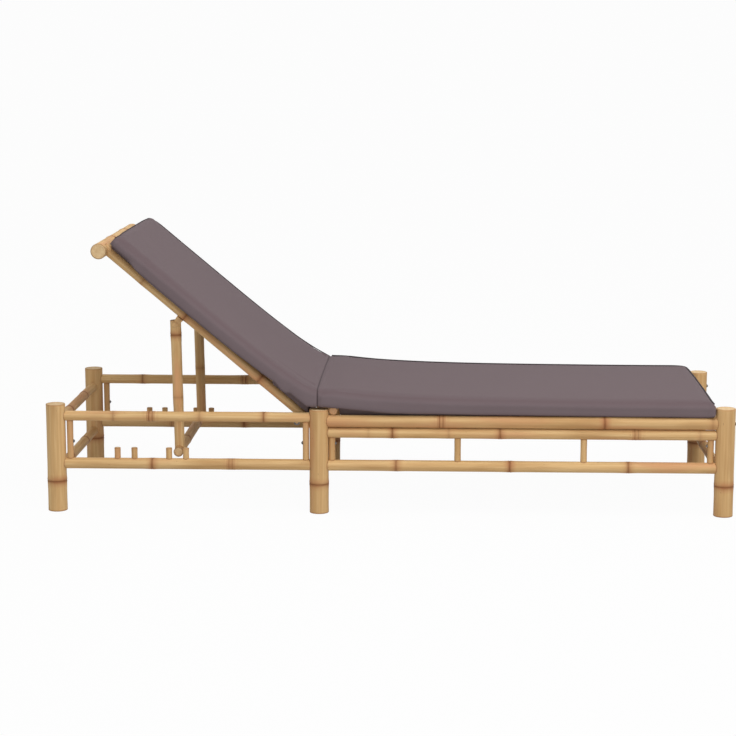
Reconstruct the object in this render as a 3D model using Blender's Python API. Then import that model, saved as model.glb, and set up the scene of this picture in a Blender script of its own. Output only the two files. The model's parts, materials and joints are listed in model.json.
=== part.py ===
"""Bamboo sun lounger with a reclining backrest, a swing-out prop and a folding cushion.

Metres, +Z up. X runs along the lounger with the foot end at +X, Y runs across it, and the
floor is at Z = 0. The object is modelled with the backrest raised and the prop standing in
its notch. Run in Blender 4.5: blender --background --python part.py
"""

import math

import bmesh
import bpy
from mathutils import Matrix, Vector

# Clearance kept between pieces that touch on the real lounger
GAP = 0.0003

# Legs: thick canes, two at the head, two at the hinge and two at the foot
LEG_RADIUS = 0.0265
LEG_HEIGHT = 0.300
MID_LEG_DROP = 0.010
LEG_SPACING = 1.840
HEAD_PANEL_LENGTH = 0.7286
SIDE_Y = 0.2985

# Side rails: the upper ones hang from the legs' tops, the lower one stands off the floor
HEAD_RAIL_RADIUS = 0.014
HEAD_RAIL_DEPTH = 0.0335
SEAT_RAIL_RADIUS = 0.017
SEAT_RAIL_DEPTH = 0.043
SECOND_RAIL_RADIUS = 0.0133
SECOND_RAIL_SPACE = 0.0022
LOWER_RAIL_RADIUS = 0.0155
LOWER_RAIL_Z = 0.133

# Short posts between the lower rails and the rails above them
POST_RADIUS = 0.009
POST_MID_SPACE = 0.0006
POST_END_SPACE = 0.0035

# Pegs that stand on the head lower rails in pairs, one pair for each backrest position
PEG_RADIUS = 0.0085
PEG_HEIGHT = 0.0295
PEG_PITCH = 0.047
UPRIGHT_NOTCH_REACH = 0.330
LOW_NOTCH_REACH = 0.473

# Cross rails between the legs of a pair
CROSS_RADIUS = 0.0135
UPPER_CROSS_DEPTH = 0.055
LOWER_CROSS_DROP = 0.024

# Hinge: a steel axle held by a plate inside each head rail
HINGE_LEG_DISTANCE = 0.0621
HINGE_DROP = 0.0165
AXLE_RADIUS = 0.004
AXLE_CLEARANCE = 0.0004
HINGE_PLATE_THICKNESS = 0.003
HINGE_PLATE_RADIUS = 0.0085
HINGE_PLATE_RISE = 0.028

# Cane that lies across the seat rails and lifts the fold of the cushion
FOLD_POLE_RADIUS = 0.012
FOLD_POLE_LEG_SPACE = 0.0008
FOLD_POLE_OVERHANG = 0.006

# Slats under the cushion
SEAT_SLAT_COUNT = 6
SEAT_SLAT_RADIUS = 0.010
SEAT_SLAT_MID_SPACE = 0.1414
SEAT_SLAT_FOOT_SPACE = 0.120
BACK_SLAT_COUNT = 4
BACK_SLAT_RADIUS = 0.009
BACK_SLAT_START = 0.085
BACK_SLAT_HEAD_SPACE = 0.1358

# Backrest frame, measured from the hinge axis along the backrest
RAISE_ANGLE = math.radians(40.3)
BACK_RAIL_RADIUS = 0.014
BACK_RAIL_LEG_SPACE = 0.003
BACK_RAIL_TAIL = 0.036
HEADBAR_RADIUS = 0.0215
HEADBAR_DROP = 0.0115
HEADBAR_LEG_SPACE = 0.0013
HEADBAR_END_INSET = 0.0035

# Steel channels under the backrest rails, which turn on the hinge axle and carry the prop's
BRACKET_THICKNESS = 0.002
BRACKET_LENGTH = 0.030
HINGE_BRACKET_HALF_WIDTH = 0.011
HINGE_CHEEK_BELOW_AXLE = 0.0075
PROP_CHEEK_BELOW_AXLE = 0.011

# Prop: two legs on an axle under the backrest, joined by a bar that stands in a notch
PROP_PIVOT_DISTANCE = 0.4293
PROP_PIVOT_DROP = 0.0368
PROP_LEG_INSET = 0.0075
PROP_LEG_TOP_RADIUS = 0.015
PROP_LEG_FOOT_RADIUS = 0.014
PROP_LEG_HEAD = 0.0105
PROP_BAR_RADIUS = 0.0135
PROP_BAR_RAIL_SPACE = 0.0025
PROP_SIDE_SPACE = 0.0006
AXLE_HEAD_RADIUS = 0.0075
AXLE_HEAD_LENGTH = 0.004

# Cushion: a seat part and a back part that meet at a fold above the middle legs
CUSHION_OVERHANG = 0.0165
CUSHION_THICKNESS = 0.0412
CUSHION_EDGE_RADIUS = 0.011
CUSHION_LEAST_EDGE = 0.001
CUSHION_CROWN = 0.003
CUSHION_SIDE_DRAW = 0.0015
CUSHION_FOOT_SPACE = 0.002
CUSHION_FOLD_OFFSET = 0.0041
CUSHION_HEAD_SPACE = 0.0078
SEAT_LIFT_LENGTH = 0.21
BACK_LIFT_LENGTH = 0.10
FOLD_TURN_LENGTH = 0.16
LEG_TOP_CLEARANCE = 0.0015
RELIEF_SLOPE_WIDTH = 0.006
RELIEF_SLOPE_LENGTH = 0.030

# Across the cushion's top: share of the half width, and share of the crown there
CROWN_POINTS = ((0.635, 0.6), (0.317, 0.9))

# Places along the cushion's parts where a cross-section stands, closer where they bend
SEAT_SECTIONS = (0.0, 0.0245, 0.059, 0.098, 0.147, 0.206, 0.284, 0.392, 0.549, 0.745)
BACK_SECTIONS = (0.042, 0.078, 0.120, 0.169, 0.233, 0.325, 0.466, 0.650)

# Bamboo nodes: the low rings along a cane, placed by shares of its length
NODE_RISE = 0.0009
NODE_HALF_WIDTH = 0.006
LEG_NODES = (0.283,)
HEAD_RAIL_NODES = (0.221, 0.364, 0.549, 0.792)
HEAD_LOWER_RAIL_NODES = (0.366, 0.664)
SEAT_RAIL_NODES = (0.304, 0.704)
SECOND_RAIL_NODES = (0.182, 0.448, 0.782)
SEAT_LOWER_RAIL_NODES = (0.191, 0.472, 0.763)
CROSS_NODES = (0.302, 0.720)
SLAT_NODES = (0.252, 0.704)
FOLD_POLE_NODES = (0.328,)
HEADBAR_NODES = (0.364, 0.729)
BACK_RAIL_NODES = (0.253, 0.572, 0.785)
PROP_LEG_NODES = (0.411, 0.848)
PROP_BAR_NODES = (0.303, 0.713)

# Facets round a cane, by how thick it is
LEG_SIDES = 18
RAIL_SIDES = 14
THIN_SIDES = 10
CUTTER_SIDES = 24

# Places of the legs and heights of the rails, which follow from the sizes above
HEAD_LEG_X = -LEG_SPACING / 2
FOOT_LEG_X = LEG_SPACING / 2
MID_LEG_X = HEAD_LEG_X + HEAD_PANEL_LENGTH
MID_LEG_HEIGHT = LEG_HEIGHT - MID_LEG_DROP
HEAD_RAIL_Z = LEG_HEIGHT - HEAD_RAIL_DEPTH
SEAT_RAIL_Z = LEG_HEIGHT - SEAT_RAIL_DEPTH
UPPER_CROSS_Z = LEG_HEIGHT - UPPER_CROSS_DEPTH
LOWER_CROSS_Z = LOWER_RAIL_Z - LOWER_CROSS_DROP
HINGE_X = MID_LEG_X - HINGE_LEG_DISTANCE
HINGE_Z = HEAD_RAIL_Z - HINGE_DROP
UPRIGHT_NOTCH_X = HINGE_X - UPRIGHT_NOTCH_REACH
LOW_NOTCH_X = HINGE_X - LOW_NOTCH_REACH
HEADBAR_DISTANCE = HINGE_X - HEAD_LEG_X + LEG_RADIUS + HEADBAR_LEG_SPACE + HEADBAR_RADIUS
HEADBAR_HALF_LENGTH = SIDE_Y - HEADBAR_END_INSET
BACK_RAIL_Y = SIDE_Y - LEG_RADIUS - BACK_RAIL_LEG_SPACE - BACK_RAIL_RADIUS
PROP_LEG_Y = BACK_RAIL_Y - PROP_LEG_INSET
CUSHION_HALF_WIDTH = SIDE_Y + CUSHION_OVERHANG
CUSHION_FOOT_X = FOOT_LEG_X - LEG_RADIUS - CUSHION_FOOT_SPACE
CUSHION_FOLD_X = MID_LEG_X - CUSHION_FOLD_OFFSET
CUSHION_HEAD_DISTANCE = HEADBAR_DISTANCE - CUSHION_HEAD_SPACE

# Places that follow from where those pieces touch
SEAT_TOP_Z = SEAT_RAIL_Z + SEAT_RAIL_RADIUS
SECOND_RAIL_Z = SEAT_RAIL_Z - SEAT_RAIL_RADIUS - SECOND_RAIL_SPACE - SECOND_RAIL_RADIUS
BACK_RAIL_RISE = UPPER_CROSS_Z + CROSS_RADIUS + GAP + BACK_RAIL_RADIUS - HINGE_Z
BACK_TOP_RISE = BACK_RAIL_RISE + BACK_RAIL_RADIUS
HEADBAR_RISE = BACK_RAIL_RISE - HEADBAR_DROP
PROP_PIVOT_RISE = BACK_RAIL_RISE - PROP_PIVOT_DROP
PROP_BAR_Z = LOWER_RAIL_Z + LOWER_RAIL_RADIUS + GAP + PROP_BAR_RADIUS
PROP_BAR_HALF_LENGTH = SIDE_Y - LOWER_RAIL_RADIUS - PROP_BAR_RAIL_SPACE
DECK_Z = SEAT_TOP_Z + NODE_RISE + GAP
FOLD_POLE_X = MID_LEG_X + LEG_RADIUS + FOLD_POLE_LEG_SPACE + FOLD_POLE_RADIUS
FOLD_LIFT = 2 * FOLD_POLE_RADIUS + GAP
HINGE_POINT = Vector((HINGE_X, 0.0, HINGE_Z))


def clear_scene():
    """Removes whatever the scene holds."""
    for old in list(bpy.data.objects):
        bpy.data.objects.remove(old, do_unlink=True)


def make_material(name, colour, roughness, metallic=0.0):
    """A plain surface: colour, roughness and metallic value."""
    material = bpy.data.materials.new(name)
    material.use_nodes = True
    shader = material.node_tree.nodes["Principled BSDF"]
    shader.inputs["Base Color"].default_value = (*colour, 1.0)
    shader.inputs["Roughness"].default_value = roughness
    shader.inputs["Metallic"].default_value = metallic
    material.diffuse_color = (*colour, 1.0)
    return material


def add_object(name, bm, material, parent=None):
    """Turns a bmesh into a named object with smooth round sides."""
    bmesh.ops.recalc_face_normals(bm, faces=bm.faces)
    mesh = bpy.data.meshes.new(name)
    bm.to_mesh(mesh)
    bm.free()
    mesh.materials.append(material)
    mesh.shade_smooth()
    mesh.set_sharp_from_angle(angle=math.radians(40.0))
    obj = bpy.data.objects.new(name, mesh)
    obj.parent = parent
    bpy.context.scene.collection.objects.link(obj)
    return obj


def turned(profile, sides):
    """Revolves a profile of (radius, height) points that starts and ends on the Z axis."""
    bm = bmesh.new()
    points = [bm.verts.new((radius, 0.0, height)) for radius, height in profile]
    edges = [bm.edges.new(pair) for pair in zip(points, points[1:])]
    bmesh.ops.spin(bm, geom=points + edges, cent=(0, 0, 0), axis=(0, 0, 1),
                   angle=math.tau, steps=sides, use_merge=True)
    bmesh.ops.remove_doubles(bm, verts=bm.verts, dist=1e-6)
    return bm


def cane_profile(length, foot_radius, top_radius, nodes):
    """The outline of a cane: straight or tapered, with a low ring at each node."""
    def radius_at(height):
        return foot_radius + (top_radius - foot_radius) * height / length

    profile = [(0.0, 0.0), (foot_radius, 0.0)]
    for height in sorted(node * length for node in nodes):
        low, high = height - NODE_HALF_WIDTH, height + NODE_HALF_WIDTH
        profile += [(radius_at(low), low),
                    (radius_at(height) + NODE_RISE, height),
                    (radius_at(high), high)]
    return profile + [(top_radius, length), (0.0, length)]


def lay_between(obj, start, end):
    """Places a piece made along +Z so that it runs from start to end."""
    obj.location = start
    obj.rotation_euler = (Vector(end) - Vector(start)).to_track_quat("Z", "Y").to_euler()


def add_cane(name, start, end, radius, nodes=(), sides=RAIL_SIDES, top_radius=None,
             material=None, parent=None):
    """A round bar, bamboo if nothing else is said; nodes are shares of the way from start."""
    length = (Vector(end) - Vector(start)).length
    profile = cane_profile(length, radius, top_radius or radius, nodes)
    cane = add_object(name, turned(profile, sides), material or BAMBOO, parent)
    lay_between(cane, start, end)
    return cane


def add_cutter(name, start, end, radius, parent=None, sides=CUTTER_SIDES):
    """A round cutter whose flats lie at least at the given radius."""
    length = (Vector(end) - Vector(start)).length
    reach = radius / math.cos(math.pi / sides)
    profile = [(0.0, 0.0), (reach, 0.0), (reach, length), (0.0, length)]
    cutter = add_object(name, turned(profile, sides), BAMBOO, parent)
    lay_between(cutter, start, end)
    cutter.hide_render = True
    cutter.display_type = "WIRE"
    return cutter


def combine(obj, other, operation):
    """Adds a Boolean of the other object to this one."""
    step = obj.modifiers.new(f"{operation.lower()}_{other.name}", "BOOLEAN")
    step.object = other
    step.operation = operation
    step.solver = "EXACT"


def cope(obj, *cutters):
    """Shapes the end of a cane to the round of what it meets."""
    for cutter in cutters:
        combine(obj, cutter, "DIFFERENCE")


def extruded(outline, axis_length):
    """A solid from an outline of (x, z) points, run along Y and centred on it."""
    bm = bmesh.new()
    ring = [bm.verts.new((x, -axis_length / 2, z)) for x, z in outline]
    face = bm.faces.new(ring)
    moved = bmesh.ops.extrude_face_region(bm, geom=[face])
    new_points = [part for part in moved["geom"] if isinstance(part, bmesh.types.BMVert)]
    bmesh.ops.translate(bm, vec=(0, axis_length, 0), verts=new_points)
    return bm


def arc(centre_x, centre_z, radius, start_angle, end_angle, steps):
    """Points on an arc, in degrees, from +X towards +Z."""
    angles = [math.radians(start_angle + (end_angle - start_angle) * step / steps)
              for step in range(steps + 1)]
    return [(centre_x + radius * math.cos(angle), centre_z + radius * math.sin(angle))
            for angle in angles]


def add_legs():
    """Six standing canes, and a cutter round each for the rails that meet it."""
    cutters = {}
    for row, x, height in (("head", HEAD_LEG_X, LEG_HEIGHT),
                           ("mid", MID_LEG_X, MID_LEG_HEIGHT),
                           ("foot", FOOT_LEG_X, LEG_HEIGHT)):
        for side, sign in SIDES:
            base = (x, sign * SIDE_Y, 0.0)
            top = (x, sign * SIDE_Y, height)
            add_cane(f"{row}_leg_{side}", base, top, LEG_RADIUS, LEG_NODES, LEG_SIDES)
            cutters[row, side] = add_cutter(f"cutter_{row}_leg_{side}", base, top,
                                            LEG_RADIUS + GAP)
    return cutters


def add_side_rail(name, side, sign, start_row, end_row, z, radius, nodes, leg_cutters):
    """A rail between two legs of one side, coped to both."""
    rail = add_cane(f"{name}_{side}", (ROW_X[start_row], sign * SIDE_Y, z),
                    (ROW_X[end_row], sign * SIDE_Y, z), radius, nodes)
    cope(rail, leg_cutters[start_row, side], leg_cutters[end_row, side])
    return rail


def add_pegs(rail, side, sign):
    """Fuses the notch pegs to a head lower rail."""
    for notch, notch_x in (("upright", UPRIGHT_NOTCH_X), ("low", LOW_NOTCH_X)):
        for end, offset in (("head", -PEG_PITCH / 2), ("foot", PEG_PITCH / 2)):
            base = (notch_x + offset, sign * SIDE_Y, LOWER_RAIL_Z)
            top = (notch_x + offset, sign * SIDE_Y,
                   LOWER_RAIL_Z + LOWER_RAIL_RADIUS + PEG_HEIGHT)
            peg = add_cutter(f"peg_{notch}_{end}_{side}", base, top, PEG_RADIUS,
                             sides=THIN_SIDES)
            combine(rail, peg, "UNION")


def add_posts(panel, places, side, sign, upper_z, upper_radius):
    """Short posts of one side panel, coped to the rail below and the rail above."""
    below = add_cutter(f"cutter_{panel}_below_{side}", (HEAD_LEG_X, sign * SIDE_Y, LOWER_RAIL_Z),
                       (FOOT_LEG_X, sign * SIDE_Y, LOWER_RAIL_Z), LOWER_RAIL_RADIUS + GAP)
    above = add_cutter(f"cutter_{panel}_above_{side}", (HEAD_LEG_X, sign * SIDE_Y, upper_z),
                       (FOOT_LEG_X, sign * SIDE_Y, upper_z), upper_radius + GAP)
    for number, x in enumerate(places, start=1):
        post = add_cane(f"{panel}_post_{number}_{side}", (x, sign * SIDE_Y, LOWER_RAIL_Z),
                        (x, sign * SIDE_Y, upper_z), POST_RADIUS, sides=THIN_SIDES)
        cope(post, below, above)


def add_side_panels(leg_cutters):
    """The two long sides: rails, posts and notch pegs."""
    mid_reach = LEG_RADIUS + POST_MID_SPACE + POST_RADIUS
    end_reach = LEG_RADIUS + POST_END_SPACE + POST_RADIUS
    head_posts = (HEAD_LEG_X + end_reach, MID_LEG_X - mid_reach)
    first, last = MID_LEG_X + mid_reach, FOOT_LEG_X - end_reach
    seat_posts = [first + (last - first) * step / 3 for step in range(4)]
    for side, sign in SIDES:
        add_side_rail("head_rail", side, sign, "head", "mid", HEAD_RAIL_Z, HEAD_RAIL_RADIUS,
                      HEAD_RAIL_NODES, leg_cutters)
        notched = add_side_rail("head_lower_rail", side, sign, "head", "mid", LOWER_RAIL_Z,
                                LOWER_RAIL_RADIUS, HEAD_LOWER_RAIL_NODES, leg_cutters)
        add_pegs(notched, side, sign)
        add_side_rail("seat_rail", side, sign, "mid", "foot", SEAT_RAIL_Z, SEAT_RAIL_RADIUS,
                      SEAT_RAIL_NODES, leg_cutters)
        add_side_rail("second_rail", side, sign, "mid", "foot", SECOND_RAIL_Z,
                      SECOND_RAIL_RADIUS, SECOND_RAIL_NODES, leg_cutters)
        add_side_rail("seat_lower_rail", side, sign, "mid", "foot", LOWER_RAIL_Z,
                      LOWER_RAIL_RADIUS, SEAT_LOWER_RAIL_NODES, leg_cutters)
        add_posts("head", head_posts, side, sign, HEAD_RAIL_Z, HEAD_RAIL_RADIUS)
        add_posts("seat", seat_posts, side, sign, SECOND_RAIL_Z, SECOND_RAIL_RADIUS)


def add_cross_rails(leg_cutters):
    """Canes across the lounger between the legs of each pair."""
    for name, row, z in (("head_upper_cross", "head", UPPER_CROSS_Z),
                         ("head_lower_cross", "head", LOWER_CROSS_Z),
                         ("mid_lower_cross", "mid", LOWER_CROSS_Z),
                         ("foot_upper_cross", "foot", UPPER_CROSS_Z),
                         ("foot_lower_cross", "foot", LOWER_CROSS_Z)):
        x = ROW_X[row]
        rail = add_cane(name, (x, -SIDE_Y, z), (x, SIDE_Y, z), CROSS_RADIUS, CROSS_NODES)
        cope(rail, leg_cutters[row, "near"], leg_cutters[row, "far"])


def add_hinge():
    """The axle that the backrest turns on, and the plates that hold it to the head rails."""
    plate_outer = SIDE_Y - HEAD_RAIL_RADIUS - GAP
    hole = add_cutter("cutter_hinge_axle", (HINGE_X, -SIDE_Y, HINGE_Z),
                      (HINGE_X, SIDE_Y, HINGE_Z), AXLE_RADIUS + AXLE_CLEARANCE)
    add_cane("hinge_axle", (HINGE_X, -plate_outer, HINGE_Z), (HINGE_X, plate_outer, HINGE_Z),
             AXLE_RADIUS, material=STEEL)
    outline = arc(0.0, 0.0, HINGE_PLATE_RADIUS, 180.0, 360.0, 8)
    outline += [(HINGE_PLATE_RADIUS, HINGE_PLATE_RISE), (-HINGE_PLATE_RADIUS, HINGE_PLATE_RISE)]
    for side, sign in SIDES:
        plate = add_object(f"hinge_plate_{side}", extruded(outline, HINGE_PLATE_THICKNESS), STEEL)
        plate.location = (HINGE_X, sign * (plate_outer - HINGE_PLATE_THICKNESS / 2), HINGE_Z)
        cope(plate, hole)
    return hole


def add_seat_deck():
    """Slats between the seat rails, and the cane that lifts the fold."""
    slat_z = SEAT_TOP_Z - SEAT_SLAT_RADIUS
    cutters = [add_cutter(f"cutter_seat_rail_{side}", (MID_LEG_X, sign * SIDE_Y, SEAT_RAIL_Z),
                          (FOOT_LEG_X, sign * SIDE_Y, SEAT_RAIL_Z), SEAT_RAIL_RADIUS + GAP)
               for side, sign in SIDES]
    first, last = MID_LEG_X + SEAT_SLAT_MID_SPACE, FOOT_LEG_X - SEAT_SLAT_FOOT_SPACE
    for number in range(SEAT_SLAT_COUNT):
        x = first + (last - first) * number / (SEAT_SLAT_COUNT - 1)
        slat = add_cane(f"seat_slat_{number + 1}", (x, -SIDE_Y, slat_z), (x, SIDE_Y, slat_z),
                        SEAT_SLAT_RADIUS, SLAT_NODES, THIN_SIDES)
        cope(slat, *cutters)
    reach = SIDE_Y + FOLD_POLE_OVERHANG
    pole_z = SEAT_TOP_Z + GAP + FOLD_POLE_RADIUS
    add_cane("fold_pole", (FOLD_POLE_X, -reach, pole_z), (FOLD_POLE_X, reach, pole_z),
             FOLD_POLE_RADIUS, FOLD_POLE_NODES)


def add_backrest(pivot):
    """Rails, headbar and slats, in the backrest's own frame with the hinge axis at zero."""
    reach = (-HEADBAR_DISTANCE, HEADBAR_RISE)
    add_cane("headbar", (reach[0], -HEADBAR_HALF_LENGTH, reach[1]),
             (reach[0], HEADBAR_HALF_LENGTH, reach[1]), HEADBAR_RADIUS, HEADBAR_NODES,
             LEG_SIDES, parent=pivot)
    headbar_cutter = add_cutter("cutter_headbar", (reach[0], -HEADBAR_HALF_LENGTH, reach[1]),
                                (reach[0], HEADBAR_HALF_LENGTH, reach[1]),
                                HEADBAR_RADIUS + GAP, pivot)
    cutters = []
    for side, sign in SIDES:
        y = sign * BACK_RAIL_Y
        start, end = (BACK_RAIL_TAIL, y, BACK_RAIL_RISE), (-HEADBAR_DISTANCE, y, BACK_RAIL_RISE)
        rail = add_cane(f"back_rail_{side}", start, end, BACK_RAIL_RADIUS, BACK_RAIL_NODES,
                        parent=pivot)
        cope(rail, headbar_cutter)
        cutters.append(add_cutter(f"cutter_back_rail_{side}", start, end,
                                  BACK_RAIL_RADIUS + GAP, pivot))
    slat_rise = BACK_TOP_RISE - BACK_SLAT_RADIUS
    first, last = BACK_SLAT_START, HEADBAR_DISTANCE - BACK_SLAT_HEAD_SPACE
    for number in range(BACK_SLAT_COUNT):
        x = -(first + (last - first) * number / (BACK_SLAT_COUNT - 1))
        slat = add_cane(f"back_slat_{number + 1}", (x, -BACK_RAIL_Y, slat_rise),
                        (x, BACK_RAIL_Y, slat_rise), BACK_SLAT_RADIUS, SLAT_NODES, THIN_SIDES,
                        parent=pivot)
        cope(slat, *cutters)


def add_bracket(name, pivot, centre, inner, low, axle_cutter):
    """A steel channel under a backrest rail, with its cheeks drilled for an axle."""
    top = BACK_RAIL_RISE - BACK_RAIL_RADIUS - GAP - centre[2]
    outer = inner + BRACKET_THICKNESS
    outline = [(-outer, top), (-outer, low), (-inner, low), (-inner, top - BRACKET_THICKNESS),
               (inner, top - BRACKET_THICKNESS), (inner, low), (outer, low), (outer, top)]
    bm = extruded(outline, BRACKET_LENGTH)
    bmesh.ops.rotate(bm, cent=(0, 0, 0), matrix=Matrix.Rotation(math.pi / 2, 3, "Z"),
                     verts=bm.verts)
    bracket = add_object(name, bm, STEEL, pivot)
    bracket.location = centre
    cope(bracket, axle_cutter)


def add_brackets(pivot, hinge_cutter, prop_cutter):
    """The channels that turn on the hinge axle, and those that hold the prop's axle."""
    for side, sign in SIDES:
        add_bracket(f"hinge_bracket_{side}", pivot, (0.0, sign * BACK_RAIL_Y, 0.0),
                    HINGE_BRACKET_HALF_WIDTH, -HINGE_CHEEK_BELOW_AXLE, hinge_cutter)
        add_bracket(f"prop_bracket_{side}", pivot,
                    (-PROP_PIVOT_DISTANCE, sign * PROP_LEG_Y, PROP_PIVOT_RISE),
                    PROP_LEG_TOP_RADIUS + PROP_SIDE_SPACE, -PROP_CHEEK_BELOW_AXLE, prop_cutter)


def axle_reach():
    """Half the axle's length between its two heads."""
    return PROP_LEG_Y + PROP_LEG_TOP_RADIUS + PROP_SIDE_SPACE + BRACKET_THICKNESS + GAP


def add_prop(prop_pivot, length, axle_cutter):
    """Two legs, the bar at their feet and the axle that they swing on."""
    bar_reach = PROP_BAR_HALF_LENGTH
    add_cane("prop_bar", (0, -bar_reach, -length), (0, bar_reach, -length), PROP_BAR_RADIUS,
             PROP_BAR_NODES, parent=prop_pivot)
    bar_cutter = add_cutter("cutter_prop_bar", (0, -bar_reach, -length),
                            (0, bar_reach, -length), PROP_BAR_RADIUS + GAP, prop_pivot)
    for side, sign in SIDES:
        y = sign * PROP_LEG_Y
        leg = add_cane(f"prop_leg_{side}", (0, y, -length), (0, y, PROP_LEG_HEAD),
                       PROP_LEG_FOOT_RADIUS, PROP_LEG_NODES,
                       top_radius=PROP_LEG_TOP_RADIUS, parent=prop_pivot)
        cope(leg, bar_cutter, axle_cutter)
    reach = axle_reach()
    end = reach + AXLE_HEAD_LENGTH
    profile = [(0.0, -end), (AXLE_HEAD_RADIUS, -end), (AXLE_HEAD_RADIUS, -reach),
               (AXLE_RADIUS, -reach), (AXLE_RADIUS, reach), (AXLE_HEAD_RADIUS, reach),
               (AXLE_HEAD_RADIUS, end), (0.0, end)]
    axle = add_object("prop_axle", turned(profile, RAIL_SIDES), STEEL, prop_pivot)
    axle.rotation_euler = (math.pi / 2, 0.0, 0.0)


def fade(value, length):
    """Falls smoothly from 1 at zero to 0 at the given length."""
    share = min(max(value / length, 0.0), 1.0)
    return 1.0 - share * share * (3.0 - 2.0 * share)


def cushion_loop(inset, relief=0.0):
    """One cross-section of the cushion as (across, height) points, from the bottom centre round.

    The inset shrinks it near the ends, where the cushion is rounded, and the relief lifts the
    underside outside the legs' inner faces.
    """
    width = CUSHION_HALF_WIDTH - inset
    low, high = inset, CUSHION_THICKNESS - inset
    radius = max(CUSHION_EDGE_RADIUS - inset, CUSHION_LEAST_EDGE)
    leg_face = SIDE_Y - LEG_RADIUS - LEG_TOP_CLEARANCE
    outer_low = max(low, relief)
    lower = arc(width - radius, outer_low + radius, radius, -90.0, 0.0, 3)
    upper = arc(width - radius, high - radius, radius, 0.0, 90.0, 3)
    middle = (width - CUSHION_SIDE_DRAW, (outer_low + high) / 2)
    half = [(0.0, low), (leg_face - RELIEF_SLOPE_WIDTH, low), (leg_face, outer_low)]
    half += lower + [middle] + upper
    half += [(CUSHION_HALF_WIDTH * across, high + CUSHION_CROWN * rise)
             for across, rise in CROWN_POINTS]
    mirrored = [(-y, z) for y, z in half[:0:-1]]
    return half + [(0.0, high + CUSHION_CROWN)] + mirrored


def loft(name, stations, material, parent=None):
    """Bridges closed rings of points into one capped solid."""
    bm = bmesh.new()
    rings = [[bm.verts.new(point) for point in ring] for ring in stations]
    for ring, following in zip(rings, rings[1:]):
        for index in range(len(ring)):
            after = (index + 1) % len(ring)
            bm.faces.new((ring[index], ring[after], following[after], following[index]))
    caps = [bm.faces.new(rings[0]), bm.faces.new(reversed(rings[-1]))]
    bmesh.ops.triangulate(bm, faces=caps)
    return add_object(name, bm, material, parent)


def rounded_end():
    """Distances from an end of the cushion, each with the inset that rounds it there."""
    turns = [math.radians(angle) for angle in (0.0, 30.0, 60.0, 90.0)]
    return [(CUSHION_EDGE_RADIUS * (1 - math.cos(turn)),
             CUSHION_EDGE_RADIUS * (1 - math.sin(turn))) for turn in turns]


def add_seat_cushion():
    """The seat part: level over the slats, rising over the fold pole at the hinge."""
    places = [(CUSHION_FOLD_X + GAP + distance, inset) for distance, inset in rounded_end()]
    pole_end = FOLD_POLE_X + FOLD_POLE_RADIUS
    level_length = CUSHION_FOOT_X - CUSHION_EDGE_RADIUS - pole_end
    places += [(pole_end + share * level_length, 0.0) for share in SEAT_SECTIONS]
    places += [(CUSHION_FOOT_X - distance, inset) for distance, inset in rounded_end()[::-1]]
    rings = []
    for x, inset in places:
        past = max(x - pole_end, 0.0)
        base = DECK_Z + FOLD_LIFT * math.exp(-past / SEAT_LIFT_LENGTH)
        rings.append([(x, y, base + z) for y, z in cushion_loop(inset)])
    loft("seat_cushion", rings, FABRIC)


def add_back_cushion(pivot):
    """The back part, in the backrest's frame; its fold face stands upright when raised."""
    bottom = BACK_TOP_RISE + NODE_RISE + GAP
    from_hinge = Vector((CUSHION_FOLD_X - GAP - HINGE_X, 0.0, DECK_Z + FOLD_LIFT - HINGE_Z))
    fold = Matrix.Rotation(-RAISE_ANGLE, 3, "Y") @ from_hinge
    start, fold_rise = -fold.x, fold.z - bottom
    leg_distance = HINGE_X - (HEAD_LEG_X + LEG_RADIUS) - 2 * LEG_TOP_CLEARANCE
    leg_top = LEG_HEIGHT + LEG_TOP_CLEARANCE - HINGE_Z - bottom
    places = [(start + distance, inset) for distance, inset in rounded_end()]
    places += [(share * CUSHION_HEAD_DISTANCE, 0.0) for share in BACK_SECTIONS]
    places += [(leg_distance - RELIEF_SLOPE_LENGTH, 0.0), (leg_distance, 0.0)]
    places += [(CUSHION_HEAD_DISTANCE - distance, inset)
               for distance, inset in rounded_end()[::-1]]
    rings = []
    for distance, inset in places:
        past = distance - start
        base = bottom + fold_rise * math.exp(-past / BACK_LIFT_LENGTH)
        lean = RAISE_ANGLE * fade(past, FOLD_TURN_LENGTH)
        relief = leg_top if distance >= leg_distance else 0.0
        rings.append([(-distance - z * math.sin(lean), y, base + z * math.cos(lean))
                      for y, z in cushion_loop(inset, relief)])
    loft("back_cushion", rings, FABRIC, pivot)


clear_scene()
BAMBOO = make_material("bamboo", (0.62, 0.42, 0.21), 0.42)
FABRIC = make_material("cushion_fabric", (0.205, 0.160, 0.165), 0.9)
STEEL = make_material("steel", (0.55, 0.55, 0.55), 0.35, 1.0)
SIDES = (("near", -1.0), ("far", 1.0))
ROW_X = {"head": HEAD_LEG_X, "mid": MID_LEG_X, "foot": FOOT_LEG_X}

backrest_pivot = bpy.data.objects.new("backrest_pivot", None)
backrest_pivot.location = HINGE_POINT
backrest_pivot.rotation_euler = (0.0, RAISE_ANGLE, 0.0)
bpy.context.scene.collection.objects.link(backrest_pivot)

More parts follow.
